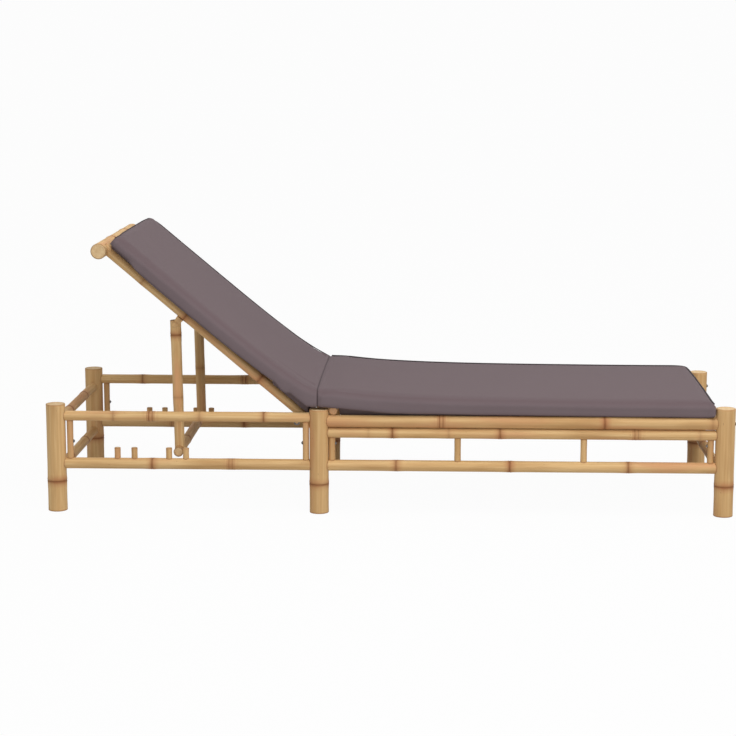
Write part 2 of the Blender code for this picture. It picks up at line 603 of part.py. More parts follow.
# The prop's length and lean follow from its pivot and the notch that its bar stands in
pivot_offset = Vector((-PROP_PIVOT_DISTANCE, 0.0, PROP_PIVOT_RISE))
pivot_point = HINGE_POINT + Matrix.Rotation(RAISE_ANGLE, 3, "Y") @ pivot_offset
to_notch = Vector((UPRIGHT_NOTCH_X, 0.0, PROP_BAR_Z)) - pivot_point
prop_length = to_notch.length
prop_pivot = bpy.data.objects.new("prop_pivot", None)
prop_pivot.parent = backrest_pivot
prop_pivot.location = pivot_offset
prop_pivot.rotation_euler = (0.0, -math.asin(to_notch.x / prop_length) - RAISE_ANGLE, 0.0)
bpy.context.scene.collection.objects.link(prop_pivot)
print(f"prop length {prop_length:.4f}, pivot at {tuple(round(v, 4) for v in pivot_point)}")

axle_half = axle_reach() + AXLE_HEAD_LENGTH
axle_hole = add_cutter("cutter_axle", (0, -axle_half, 0), (0, axle_half, 0),
                       AXLE_RADIUS + AXLE_CLEARANCE, prop_pivot, RAIL_SIDES)

leg_cutters = add_legs()
add_side_panels(leg_cutters)
add_cross_rails(leg_cutters)
hinge_hole = add_hinge()
add_seat_deck()
add_backrest(backrest_pivot)
add_brackets(backrest_pivot, hinge_hole, axle_hole)
add_prop(prop_pivot, prop_length, axle_hole)
add_seat_cushion()
add_back_cushion(backrest_pivot)
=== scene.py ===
# %% [markdown]
# # A bamboo sun lounger
# The real lounger is a frame of bamboo canes with a folding cushion. The measured solids come
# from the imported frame, and every step below dresses one of them: first the camera and the light,
# then the canes, the small steel parts, and last the cushion.

import itertools
import json
import math

import bmesh
import bpy
import numpy as np
from mathutils import Matrix, Vector


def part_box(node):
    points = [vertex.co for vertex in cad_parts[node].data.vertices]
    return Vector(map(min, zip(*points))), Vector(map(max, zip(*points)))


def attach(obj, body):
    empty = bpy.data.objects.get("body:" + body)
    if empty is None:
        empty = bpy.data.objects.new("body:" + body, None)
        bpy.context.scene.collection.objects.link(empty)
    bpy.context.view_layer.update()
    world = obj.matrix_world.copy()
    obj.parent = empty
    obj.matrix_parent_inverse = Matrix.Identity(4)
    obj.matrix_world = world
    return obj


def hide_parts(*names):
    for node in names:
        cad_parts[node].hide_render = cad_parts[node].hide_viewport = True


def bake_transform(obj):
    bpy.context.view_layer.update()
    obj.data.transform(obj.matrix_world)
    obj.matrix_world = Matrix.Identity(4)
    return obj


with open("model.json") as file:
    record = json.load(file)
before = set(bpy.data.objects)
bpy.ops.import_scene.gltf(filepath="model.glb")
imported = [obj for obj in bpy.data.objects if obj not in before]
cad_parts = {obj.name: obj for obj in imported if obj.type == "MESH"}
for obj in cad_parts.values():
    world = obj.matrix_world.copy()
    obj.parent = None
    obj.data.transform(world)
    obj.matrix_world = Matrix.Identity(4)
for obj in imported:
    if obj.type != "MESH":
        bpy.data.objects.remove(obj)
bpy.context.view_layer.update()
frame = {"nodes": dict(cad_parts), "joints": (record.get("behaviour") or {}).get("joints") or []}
print("pieces in the frame:", len(frame["nodes"]))

# %% [markdown]
# ## The camera
# The photograph was taken almost from the side and a little from above, with a long lens. The
# place and the turn below were worked out from the legs and the parallel rails.

# %% Set up the camera
CAMERA_PLACE = (0.15009, -5.57656, 1.28986)
CAMERA_TILT = math.pi / 2 - 0.1659431
CAMERA_PAN = 0.0390982
LENS = 95.79
SENSOR = 36.0


def placed(name, data):
    """An object with some data, linked to the scene."""
    made = bpy.data.objects.new(name, data)
    bpy.context.scene.collection.objects.link(made)
    return made


camera_data = bpy.data.cameras.new("camera")
camera_data.lens = LENS
camera_data.sensor_width = SENSOR
camera = placed("camera", camera_data)
camera.location = CAMERA_PLACE
camera.rotation_euler = (CAMERA_TILT, 0.0, CAMERA_PAN)
bpy.context.scene.camera = camera
print("lens", LENS, "mm")

# %% [markdown]
# ## Node helpers
# Every finish is a small node tree. A few helpers keep those trees readable: one turns a colour
# as seen on screen into the linear value that a shader wants, one adds a node with its inputs,
# one lays colours over each other, and the last one adds a bump and the shader.

# %% Helpers for colours and nodes


def screen(red, green, blue):
    """A colour given as screen values from 0 to 255, as a shader's linear RGBA."""
    def linear(value):
        share = value / 255
        return share / 12.92 if share <= 0.04045 else ((share + 0.055) / 1.055) ** 2.4
    return (linear(red), linear(green), linear(blue), 1.0)


class Tree:
    """The node tree of a new material, or of a new world; it starts with only its output."""

    def __init__(self, name, owners=bpy.data.materials, output="OutputMaterial"):
        self.owner = owners.new(name)
        self.owner.use_nodes = True
        self.nodes = self.owner.node_tree.nodes
        self.nodes.clear()
        self.output = self.add(output)

    def add(self, kind, inputs=None, **settings):
        """Adds a node; an input is either a value or another node's socket."""
        node = self.nodes.new("ShaderNode" + kind)
        for name, value in settings.items():
            setattr(node, name, value)
        for name, value in (inputs or {}).items():
            self.fill(node.inputs[name], value)
        return node

    def fill(self, socket, value):
        """Links a socket to another, or gives it its own value."""
        if isinstance(value, bpy.types.NodeSocket):
            self.owner.node_tree.links.new(value, socket)
        else:
            socket.default_value = value

    def stored(self, name, output="Fac"):
        """A value that the mesh carries on its points."""
        return self.add("Attribute", attribute_name=name).outputs[output]

    def noise(self, vector, scale, detail=2.0, roughness=0.5):
        """The value of a noise pattern on a stretched set of coordinates."""
        stretched = self.add("VectorMath", {0: vector, 1: scale}, operation="MULTIPLY")
        node = self.add("TexNoise", {"Vector": stretched.outputs[0], "Scale": 1.0,
                                     "Detail": detail, "Roughness": roughness})
        return node.outputs["Fac"]

    def spread(self, value, low, high, start=0.0, end=1.0):
        """Maps values from low to high onto start to end, and clamps what lies outside."""
        node = self.add("MapRange", {"Value": value, "From Min": low, "From Max": high,
                                     "To Min": start, "To Max": end})
        return node.outputs["Result"]

    def mix(self, share, first, second):
        """Mixes two colours."""
        node = self.add("Mix", {"Factor": share, 6: first, 7: second}, data_type="RGBA")
        return node.outputs[2]

    def layers(self, colour, *rows):
        """Lays colours over the first one; each row is (value, low, high, most share, colour)."""
        for value, low, high, most, over in rows:
            colour = self.mix(self.spread(value, low, high, 0.0, most), colour, over)
        return colour

    def maths(self, operation, first, second=0.0):
        """One sum on two values."""
        return self.add("Math", {0: first, 1: second}, operation=operation).outputs[0]

    def finish(self, shader):
        """Joins the last shader to the output and hands back the tree's owner."""
        self.fill(self.output.inputs["Surface"], shader.outputs[0])
        return self.owner

    def surface(self, colour, height, strength, depth, **values):
        """Ends the tree with a coloured shader and a bump; values go on the shader's sockets."""
        bump = self.add("Bump", {"Height": height, "Strength": strength, "Distance": depth})
        shader = self.add("BsdfPrincipled", {"Base Color": colour, "Normal": bump.outputs[0]})
        for name, value in values.items():
            self.fill(shader.inputs[name.replace("_", " ")], value)
        return self.finish(shader)


# %% [markdown]
# ## Floor and light
# The photograph has a white ground and soft light. The floor is white to the camera, and keeps a
# faint shadow because only part of what the camera sees of it is its own glow. Reflections and
# rays through glass see that white too. The light on the object stays at a plain level: a pale
# sky, one wide lamp above and a weaker one in front.

# %% Make the floor, the sky and the lamps
FLOOR_SIZE = 60.0
FLOOR_GLOW = 0.965
FLOOR_PAPER = 0.60
SKY_LEVEL = 0.50
GROUND_WHITE = FLOOR_GLOW + (1 - FLOOR_GLOW) * FLOOR_PAPER * SKY_LEVEL
LAMPS = (
    # name, place, size, power
    ("top_lamp", (0.9, -1.2, 3.6), 3.0, 88.0),
    ("front_lamp", (1.0, -4.6, 1.9), 2.4, 44.0),
)
WHITE = (1.0, 1.0, 1.0, 1.0)


def seen(tree):
    """1 for what is seen, straight or in a reflection or through glass, and 0 for lighting."""
    path = tree.add("LightPath")
    share = path.outputs["Is Camera Ray"]
    for ray in ("Is Glossy Ray", "Is Transmission Ray"):
        share = tree.maths("MAXIMUM", share, path.outputs[ray])
    return share


def floor_material():
    """White where it is seen, and plain pale paper to the light."""
    tree = Tree("floor")
    share = tree.maths("MULTIPLY", seen(tree), FLOOR_GLOW)
    paper = tree.add("BsdfDiffuse", {"Color": (FLOOR_PAPER, FLOOR_PAPER, FLOOR_PAPER, 1.0)})
    glow = tree.add("Emission", {"Color": WHITE, "Strength": 1.0})
    return tree.finish(tree.add("MixShader", {0: share, 1: paper.outputs[0],
                                              2: glow.outputs[0]}))


def sky_world():
    """White where it is seen, and a pale sky to the light."""
    tree = Tree("sky", bpy.data.worlds, "OutputWorld")
    level = tree.spread(seen(tree), 0.0, 1.0, SKY_LEVEL, GROUND_WHITE)
    return tree.finish(tree.add("Background", {"Color": WHITE, "Strength": level}))


def meshed(name, bm, *materials):
    """Turns a bmesh into an object with its materials."""
    mesh = bpy.data.meshes.new(name)
    bm.to_mesh(mesh)
    bm.free()
    for material in materials:
        mesh.materials.append(material)
    return placed(name, mesh)


bm = bmesh.new()
bmesh.ops.create_grid(bm, x_segments=1, y_segments=1, size=FLOOR_SIZE / 2)
floor = meshed("floor", bm, floor_material())
bpy.context.scene.world = sky_world()
for name, place, size, power in LAMPS:
    lamp_data = bpy.data.lights.new(name, "AREA")
    lamp_data.shape = "SQUARE"
    lamp_data.size = size
    lamp_data.energy = power
    lamp = placed(name, lamp_data)
    lamp.location = place
    lamp.rotation_euler = (-Vector(place)).to_track_quat("-Z", "Y").to_euler()
bpy.context.scene.view_settings.view_transform = "Standard"
print("lamps:", len(LAMPS))

# %% [markdown]
# ## What bamboo looks like
# A cane has fine fibres that run along it, broad patches of paler and redder straw, and at each
# node a dark scar with a stain around it. The pattern has to follow each cane whatever way it
# lies, so the mesh carries three values on its points: the place in the cane's own frame, how
# near a node is, and how dark that cane is as a whole. That darkness is partly the cane's own
# tone and partly painted shade and painted light: canes under the cushion are darkened, and
# canes that the lamps reach weakly are paled.

# %% Make the bamboo finishes
STRAW_PALE = screen(231, 196, 142)
STRAW = screen(213, 172, 117)
STRAW_DARK = screen(175, 130, 81)
BLUSH = screen(212, 152, 110)
SCAR = screen(132, 84, 48)
STAIN = screen(184, 126, 84)
SAWN = screen(226, 196, 150)
SAWN_DARK = screen(190, 150, 102)
RIM = screen(158, 116, 70)


def bamboo_material():
    """Polished bamboo skin: fibres, patches, node scars and small dark specks."""
    tree = Tree("bamboo_skin")
    place = tree.stored("cane_place", "Vector")
    fibres = tree.noise(place, (700.0, 700.0, 9.0), 4.0, 0.6)
    grain = tree.noise(place, (160.0, 160.0, 3.0), 3.0, 0.55)
    patches = tree.noise(place, (30.0, 30.0, 5.0))
    specks = tree.noise(place, (330.0, 330.0, 90.0), 1.0, 0.4)
    blush = tree.noise(place, (22.0, 22.0, 3.2))
    colour = tree.layers(
        STRAW,
        (grain, 0.36, 0.66, 1.0, STRAW_PALE),
        (patches, 0.50, 0.72, 0.55, STRAW_DARK),
        (blush, 0.54, 0.74, 0.75, BLUSH),
        (fibres, 0.50, 0.72, 0.30, STRAW_DARK),
        # how dark the cane is: its own tone, with painted shade on canes under the cushion and
        # painted light on canes the lamps reach weakly
        (tree.stored("cane_tone"), 0.0, 1.0, 0.75, STRAW_DARK))
    stain = tree.maths("MULTIPLY", tree.stored("cane_stain"),
                       tree.spread(patches, 0.30, 0.62, 0.35, 1.0))
    colour = tree.mix(stain, colour, STAIN)
    colour = tree.layers(colour, (specks, 0.76, 0.82, 0.7, SCAR))
    colour = tree.mix(tree.stored("cane_scar"), colour, SCAR)
    height = tree.maths("ADD", tree.maths("MULTIPLY", fibres, 0.5), grain)
    rough = tree.spread(grain, 0.3, 0.7, 0.60, 0.72)
    return tree.surface(colour, height, 0.25, 0.0005, Roughness=rough, Coat_Weight=0.04,
                        Coat_Roughness=0.4, Specular_IOR_Level=0.2)


def sawn_material():
    """The cut end of a cane: pale wood, its fibre ends as small dots, a dark skin round it, and
    painted shade on a dark cane.
    """
    tree = Tree("bamboo_sawn")
    place = tree.stored("cane_place", "Vector")
    dots = tree.noise(place, (900.0, 900.0, 40.0), 2.0, 0.6)
    cloud = tree.noise(place, (90.0, 90.0, 20.0))
    colour = tree.layers(
        SAWN,
        (cloud, 0.4, 0.7, 0.5, SAWN_DARK),
        (dots, 0.56, 0.70, 0.7, SAWN_DARK),
        # painted shade: the cut ends of a very dark cane, the fold pole, are darkened
        (tree.stored("cane_tone"), 0.5, 1.0, 0.8, STAIN),
        (tree.stored("cane_stain"), 0.35, 1.0, 0.85, RIM))
    return tree.surface(colour, dots, 0.3, 0.0004, Roughness=0.72)


BAMBOO = bamboo_material()
SAWN_WOOD = sawn_material()
print("finishes:", BAMBOO.name, SAWN_WOOD.name)

# %% [markdown]
# ## Turning a cane
# A cane is round, so its outline is drawn once and spun. The outline is what makes it
# bamboo: at a node the wall swells, a narrow scar runs round it, and a second, softer ridge
# stands just above. Between nodes the wall is very slightly waisted. Long canes are never quite
# straight either, so the finished cane gets a bend of under a millimetre. The sawn end shows the
# wall as a ring, with a thin plate set back inside it and the dark skin as a fine rim. Each cane
# draws the next seed, which shifts its pattern and its bend, so that no two look alike.

# %% Turn canes
CANE_SIDES = 40
EDGE_ROUND = 0.0008
WALL = 0.0055
WALL_ROUND = 0.0004
END_RECESS = 0.0007
FLAT_NORMAL = 0.7
NODE_STEPS = (
    # distance from the node, rise, scar, stain
    (-0.0190, 0.00000, 0.00, 0.00),
    (-0.0120, 0.00015, 0.00, 0.30),
    (-0.0070, 0.00035, 0.05, 0.65),
    (-0.0035, 0.00065, 0.30, 0.95),
    (-0.0018, 0.00090, 0.60, 1.00),
    (-0.0008, 0.00020, 0.85, 1.00),
    (0.0004, 0.00020, 0.85, 1.00),
    (0.0015, 0.00075, 0.60, 1.00),
    (0.0034, 0.00090, 0.30, 0.95),
    (0.0065, 0.00050, 0.05, 0.80),
    (0.0120, 0.00015, 0.00, 0.45),
    (0.0200, 0.00000, 0.00, 0.00),
)
NODE_REACH = 0.018
WAIST = 0.00025
END_STAIN = 0.8
END_STAIN_LENGTH = 0.0045
RIM_SHARE = 0.88
STEP_LENGTH = 0.030
BEND_WAVES = 2.4
BEND_TURN = 1.7
PATTERN_STEP = (0.37, 0.61, 0.83)
CANE_SHARP = 50
SEEDS = itertools.count(1)


def cane_outline(length, foot, top, nodes):
    """Rings of a cane as (distance, radius, scar, stain), from one end to the other."""
    def radius_at(distance):
        return foot + (top - foot) * distance / length

    rings = [(distance, radius_at(distance), 0.0, stain) for distance, stain in (
        (EDGE_ROUND, END_STAIN), (END_STAIN_LENGTH, 0.0),
        (length - END_STAIN_LENGTH, 0.0), (length - EDGE_ROUND, END_STAIN))]
    taken = []
    for share, weight in nodes:
        middle = share * length
        taken.append(middle)
        rings += [(middle + step, radius_at(middle) + rise * weight, scar * weight,
                   stain * weight) for step, rise, scar, stain in NODE_STEPS
                  if EDGE_ROUND * 2 < middle + step < length - EDGE_ROUND * 2]
    count = max(int(length / STEP_LENGTH), 2)
    for number in range(1, count):
        distance = length * number / count
        if all(abs(distance - middle) > NODE_REACH for middle in taken):
            rings.append((distance, radius_at(distance) - WAIST, 0.0, 0.0))
    return sorted(rings)


def spin_outline(bm, outline, steps):
    """Spins a line of (radius, height) points round the Z axis into a closed shell."""
    points = [bm.verts.new((radius, 0.0, height)) for radius, height in outline]
    edges = [bm.edges.new(pair) for pair in zip(points, points[1:])]
    bmesh.ops.spin(bm, geom=points + edges, cent=(0, 0, 0), axis=(0, 0, 1), angle=math.tau,
                   steps=steps, use_merge=True)
    bmesh.ops.remove_doubles(bm, verts=bm.verts, dist=1e-6)
    bmesh.ops.recalc_face_normals(bm, faces=bm.faces)


def stand(bm, place, out):
    """Moves a shape made round the Z axis to a place, with its axis along a direction."""
    turn = out.to_track_quat("Z", "Y").to_matrix().to_4x4()
    bmesh.ops.transform(bm, matrix=Matrix.Translation(place) @ turn, verts=bm.verts)


def turn_cane(start, end, foot, top=None, nodes=(), tone=0.3, bend=0.0):
    """A cane between two points, its ends sawn square; nodes are (share, weight) pairs."""
    length = (end - start).length
    top = top or foot
    seed = next(SEEDS)
    rings = cane_outline(length, foot, top, nodes)
    wall_foot, wall_top = max(foot - WALL, foot / 2), max(top - WALL, top / 2)
    outline = [(0.0, END_RECESS), (wall_foot, END_RECESS), (wall_foot + WALL_ROUND, 0.0),
               (foot - EDGE_ROUND, 0.0)]
    outline += [(radius, distance) for distance, radius, scar, stain in rings]
    outline += [(top - EDGE_ROUND, length), (wall_top + WALL_ROUND, length),
                (wall_top, length - END_RECESS), (0.0, length - END_RECESS)]
    bm = bmesh.new()
    spin_outline(bm, outline, CANE_SIDES)
    for face in bm.faces:
        middle = face.calc_center_median()
        at_end = min(middle.z, length - middle.z) < END_RECESS * 2
        face.material_index = 1 if at_end and abs(face.normal.z) > FLAT_NORMAL else 0
    mark_cane(bm, rings, tone, seed)
    phase = seed * BEND_TURN
    for vert in bm.verts:
        share = vert.co.z / length
        away = bend * math.sin(math.pi * share) * math.sin(BEND_WAVES * math.pi * share + phase)
        vert.co.x += away * math.cos(phase)
        vert.co.y += away * math.sin(phase)
    stand(bm, start, end - start)
    return bm


def mark_cane(bm, rings, tone, seed):
    """Writes the values that the bamboo finishes read onto the points of a cane."""
    place = bm.verts.layers.float_vector.new("cane_place")
    scar_layer, stain_layer, tone_layer = [
        bm.verts.layers.float.new(f"cane_{name}") for name in ("scar", "stain", "tone")]
    marks = {round(distance, 6): (scar, stain) for distance, radius, scar, stain in rings}
    first, last = rings[0], rings[-1]
    shift = Vector([step * seed for step in PATTERN_STEP])
    for vert in bm.verts:
        vert[place] = vert.co + shift
        scar, stain = marks.get(round(vert.co.z, 6), (0.0, 0.0))
        end = first if vert.co.z < first[0] else last if vert.co.z > last[0] else None
        if end and vert.co.xy.length > end[1] * RIM_SHARE:
            stain = 1.0
        vert[scar_layer] = scar
        vert[stain_layer] = stain
        vert[tone_layer] = tone


def smooth_piece(name, bm, sharp, *materials):
    """Turns a bmesh into a smooth piece whose edges over a given angle stay sharp."""
    piece = meshed(name, bm, *materials)
    piece.data.shade_smooth()
    piece.data.set_sharp_from_angle(angle=math.radians(sharp))
    return piece


def keep_cane(name, bm, body, node=None):
    """A bamboo piece that rides on a body, in place of a node if one is named."""
    piece = smooth_piece(name, bm, CANE_SHARP, BAMBOO, SAWN_WOOD)
    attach(piece, body)
    if node:
        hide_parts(node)


print("a cane has", CANE_SIDES, "sides")

# %% [markdown]
# ## Saddle cuts
# Where a cane ends on the round side of another, its maker cuts the end to a saddle so that it
# sits close all round. The same is done here by sliding the end's points along the cane until
# they lie on the other cane's surface.

# %% Cut saddles
SADDLE_SPACE = 0.0003
END_DEPTH = 0.0025


def saddle(bm, end, inward, through, along, radius):
    """Fits the cane's end at a point to a round cane through another point."""
    inward, along = inward.normalized(), along.normalized()
    reach = radius + SADDLE_SPACE
    for vert in bm.verts:
        from_end = (vert.co - end).dot(inward)
        if from_end > END_DEPTH:
            continue
        across = vert.co - through
        across -= along * across.dot(along)
        side = across.dot(inward)
        inside = side * side - (across.length_squared - reach * reach)
        if inside > 0:
            vert.co += inward * (math.sqrt(inside) - side + min(from_end, END_DEPTH))


print("saddles reach", END_DEPTH, "m into a cane's end")

# %% [markdown]
# ## Where the canes lie
# The frame already knows each cane's place. Its axis direction is known from the kind of piece,
# so the ends, and the middle of its round, can be read from the solid's own points.

# %% Read places from the frame
JOINTS = {joint["name"]: joint for joint in frame["joints"]}
LEAN = math.radians(JOINTS["backrest_recline"]["range_deg"][1])
HINGE = Vector(JOINTS["backrest_recline"]["pos_m"])
PROP_PIVOT = Vector(JOINTS["prop_fold"]["pos_m"])
ALONG = Vector((1, 0, 0))
ACROSS = Vector((0, 1, 0))
UP = Vector((0, 0, 1))
BACK_ALONG = Vector((math.cos(LEAN), 0, -math.sin(LEAN)))
BACK_UP = Vector((math.sin(LEAN), 0, math.cos(LEAN)))


def ends_of(node, direction):
    """The two ends of a round solid's axis, from its points and its direction."""
    points = np.array([vert.co for vert in frame["nodes"][node].data.vertices])
    direction = direction.normalized()
    side = ACROSS if abs(direction.dot(ACROSS)) < 0.5 else ALONG
    other = direction.cross(side)
    middle = Vector((0, 0, 0))
    for axis in (side, other):
        reach = points @ np.array(axis)
        middle += axis * float(reach.min() + reach.max()) / 2
    reach = points @ np.array(direction)
    return middle + direction * float(reach.min()), middle + direction * float(reach.max())


BAR_START, BAR_END = ends_of("prop_bar", ACROSS)
PROP_ALONG = (PROP_PIVOT - (BAR_START + BAR_END) / 2).normalized()
print("backrest leans", round(math.degrees(LEAN), 1), "degrees")

# %% [markdown]
# ## The legs
# Six thick canes stand on the floor. Their tops are sawn just above a rail, so the cut end shows
# its thick wall and the thin plate that closes the cane inside. One helper lays these and all
# later canes: it turns a cane where a solid lies, cuts its saddles and puts it in its place.

# %% Stand the legs
LEG_RADIUS = 0.0265
LEG_NODES = ((0.283, 1.0),)
# the middle and foot legs are darkened as painted shade under the cushion, and the head leg is
# paled as painted light
LEG_TONES_AND_SHADE = {"head_leg_near": 0.12, "mid_leg_near": 0.42, "foot_leg_near": 0.38}
SIDES = ("near", "far")
legs = {}


def lay_cane(node, body, direction, radius, carriers=(), ends=None, **looks):
    """A cane in place of a node; the carriers at its ends are (point, direction, radius)."""
    ends = ends or ends_of(node, direction)
    bm = turn_cane(*ends, radius, **looks)
    for end, inward, carrier in zip(ends, (direction, -direction), carriers):
        saddle(bm, end, inward, *carrier)
    keep_cane(f"{node}_cane", bm, body, node)


for row in ("head", "mid", "foot"):
    for side in SIDES:
        node = f"{row}_leg_{side}"
        lay_cane(node, "base", UP, LEG_RADIUS, nodes=LEG_NODES, tone=LEG_TONES_AND_SHADE.get(node, 0.3))
        legs[row, side] = ends_of(node, UP)[0]
print("legs:", len(legs))

# %% [markdown]
# ## The rails
# Rails run between the legs on both long sides, and across the ends. Each is cut to a saddle at
# both ends. The weights beside the nodes make some rings strong and others faint, as they are in
# real canes.

# %% Lay the rails
SIDE_RAILS = (
    # name, legs at its ends, radius, nodes as (X, weight), how dark it is: its own tone, with
    # painted shade on the seat rail and painted light on the head rails
    ("head_rail", "head", "mid", 0.0140, ((-0.759, 0.4), (-0.660, 0.9), (-0.650, 0.7),
                                          (-0.520, 0.35), (-0.343, 0.9)), 0.06),
    ("head_lower_rail", "head", "mid", 0.0155, ((-0.653, 0.9), (-0.440, 0.5), (-0.430, 0.5)),
     0.12),
    ("seat_rail", "mid", "foot", 0.0172, ((0.140, 0.8), (0.150, 0.7), (0.591, 1.0),
                                          (0.884, 0.3)), 0.42),
    ("second_rail", "mid", "foot", 0.0143, ((-0.055, 0.2), (0.011, 1.0), (0.1655, 0.3),
                                            (0.306, 0.9), (0.673, 0.6), (0.683, 0.5),
                                            (0.851, 0.25)), 0.22),
    ("seat_lower_rail", "mid", "foot", 0.0155, ((0.021, 0.8), (0.333, 1.0), (0.657, 0.9)), 0.10),
)
CROSS_RAILS = (("head_upper_cross", "head"), ("head_lower_cross", "head"),
               ("mid_lower_cross", "mid"), ("foot_upper_cross", "foot"),
               ("foot_lower_cross", "foot"))
CROSS_RADIUS = 0.0135
CROSS_NODES = ((0.302, 1.0), (0.720, 0.8))
RAIL_BEND = 0.0002
HEAD_RAIL_LIFT = 0.0009
RADIUS = {name: radius for name, first, second, radius, nodes, tone in SIDE_RAILS}

for name, first, second, radius, nodes, tone in SIDE_RAILS:
    for side in SIDES:
        node = f"{name}_{side}"
        start, end = ends_of(node, ALONG)
        if name == "head_lower_rail":
            start.z = end.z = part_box(f"seat_lower_rail_{side}")[0].z + radius + HEAD_RAIL_LIFT
        shares = [((x - start.x) / (end.x - start.x), weight) for x, weight in nodes]
        if side == "far":
            shares = [(1 - share, weight) for share, weight in shares]
        carriers = [(legs[row, side], UP, LEG_RADIUS) for row in (first, second)]
        lay_cane(node, "base", ALONG, radius, carriers, ends=(start, end), nodes=shares,
                 tone=tone, bend=RAIL_BEND)
for node, row in CROSS_RAILS:
    carriers = [(legs[row, side], UP, LEG_RADIUS) for side in SIDES]
    lay_cane(node, "base", ACROSS, CROSS_RADIUS, carriers, nodes=CROSS_NODES, tone=0.35,
             bend=RAIL_BEND / 2)
print("rails:", len(SIDE_RAILS) * 2 + len(CROSS_RAILS))

# %% [markdown]
# ## Posts and pegs
# Short posts hold the rails apart. On the head's lower rails stand pairs of pegs: the foot of the
# prop drops between a pair, and so the backrest is held at that height.

# %% Stand the posts and the pegs
POST_RADIUS = 0.009
PEG_RADIUS = 0.0085
PEG_TOP_Z = 0.178
PEG_PITCH = 0.047
PEG_DEPTH = 0.003
NOTCH_REACH = (0.330, 0.473)
POST_TONES = itertools.cycle((0.35, 0.45, 0.25))
POSTS = [("head", number, "head_rail") for number in (1, 2)]
POSTS += [("seat", number, "second_rail") for number in (1, 2, 3, 4)]


def rail_axis(name, side):
    """A point on the axis of a side rail, which runs along X."""
    start, end = ends_of(f"{name}_{side}", ALONG)
    if name == "head_lower_rail":
        start.z = ends_of(f"seat_lower_rail_{side}", ALONG)[0].z
    return start


for panel, number, upper in POSTS:
    for side in SIDES:
        carriers = [(rail_axis(rail, side), ALONG, RADIUS[rail])
                    for rail in (f"{panel}_lower_rail", upper)]
        lay_cane(f"{panel}_post_{number}_{side}", "base", UP, POST_RADIUS, carriers,
                 tone=next(POST_TONES))
for side in SIDES:
    axis_point = rail_axis("head_lower_rail", side)
    for notch, reach in enumerate(NOTCH_REACH, start=1):
        for peg_number, offset in ((1, -PEG_PITCH / 2), (2, PEG_PITCH / 2)):
            x = HINGE.x - reach + offset
            start = Vector((x, axis_point.y, axis_point.z + RADIUS["head_lower_rail"] - PEG_DEPTH))
            end = Vector((x, axis_point.y, PEG_TOP_Z))
            peg = turn_cane(start, end, PEG_RADIUS, tone=0.25)
            saddle(peg, start, UP, axis_point, ALONG, RADIUS["head_lower_rail"])
            keep_cane(f"peg_{notch}_{peg_number}_{side}", peg, "base")
print("posts:", len(POSTS) * 2, "pegs:", len(NOTCH_REACH) * 4)

# %% [markdown]
# ## The deck
# Slats between the seat rails carry the cushion, and one thicker cane across them beside the
# middle legs lifts it at the fold.

# %% Lay the slats
SEAT_SLATS = 6
SEAT_SLAT_RADIUS = 0.010
SLAT_NODES = ((0.252, 0.7), (0.704, 0.6))
FOLD_POLE_RADIUS = 0.012
FOLD_POLE_NODES = ((0.328, 1.0),)

carriers = [(rail_axis("seat_rail", side), ALONG, RADIUS["seat_rail"]) for side in SIDES]
for number in range(1, SEAT_SLATS + 1):
    lay_cane(f"seat_slat_{number}", "base", ACROSS, SEAT_SLAT_RADIUS, carriers,
             nodes=SLAT_NODES, tone=0.4)
# the fold pole and its cut ends are darkened as painted shade under the cushion
lay_cane("fold_pole", "base", ACROSS, FOLD_POLE_RADIUS, nodes=FOLD_POLE_NODES, tone=0.9)
print("seat slats:", SEAT_SLATS)

# %% [markdown]
# ## The backrest and the prop
# Two rails and slats end on a thick headbar. Under them swings the prop: two legs whose feet are
# cut to a saddle on the bar that drops between the pegs.

# %% Build the backrest and the prop
BACK_RAIL_RADIUS = 0.014
BACK_RAIL_NODES = ((0.253, 0.8), (0.608, 0.8), (0.810, 0.5))
BACK_SLAT_RADIUS = 0.009
BACK_SLATS = 4
HEADBAR_RADIUS = 0.0215
HEADBAR_NODES = ((0.364, 1.0), (0.729, 0.8))
PROP_FOOT_RADIUS = 0.0140
PROP_HEAD_RADIUS = 0.0150
PROP_NODES = ((0.411, 0.3), (0.890, 1.0))
PROP_BAR_RADIUS = 0.0135
PROP_BAR_NODES = ((0.303, 0.8), (0.713, 0.8))

# the headbar, the back rails and the prop legs are paled as painted light where the lamps reach
# them weakly
lay_cane("headbar", "backrest", ACROSS, HEADBAR_RADIUS, nodes=HEADBAR_NODES, tone=0.15)
carriers = [(ends_of("headbar", ACROSS)[0], ACROSS, HEADBAR_RADIUS)]
for side in SIDES:
    lay_cane(f"back_rail_{side}", "backrest", BACK_ALONG, BACK_RAIL_RADIUS, carriers,
             nodes=[(1 - share, weight) for share, weight in BACK_RAIL_NODES], tone=0.10,
             bend=RAIL_BEND)
carriers = [(ends_of(f"back_rail_{side}", BACK_ALONG)[0], BACK_ALONG, BACK_RAIL_RADIUS)
            for side in SIDES]
for number in range(1, BACK_SLATS + 1):
    lay_cane(f"back_slat_{number}", "backrest", ACROSS, BACK_SLAT_RADIUS, carriers,
             nodes=SLAT_NODES, tone=0.4)
lay_cane("prop_bar", "prop", ACROSS, PROP_BAR_RADIUS, nodes=PROP_BAR_NODES, tone=0.3)
for side in SIDES:
    lay_cane(f"prop_leg_{side}", "prop", PROP_ALONG, PROP_FOOT_RADIUS,
             [(BAR_START, ACROSS, PROP_BAR_RADIUS)], top=PROP_HEAD_RADIUS, nodes=PROP_NODES,
             tone=0.0)
print("canes in all:", next(SEEDS) - 1)

# %% [markdown]
# ## Steel parts
# The hinge and the prop turn on steel axles. The plates beside the hinge are zinc-plated, and the
# axles are painted in the canes' colour. Their solids already have the right shape, so they only
# get a finish.

# %% Finish the steel
ZINC = screen(120, 118, 116)
ZINC_DULL = screen(92, 90, 90)
STEEL_SHARP = 35


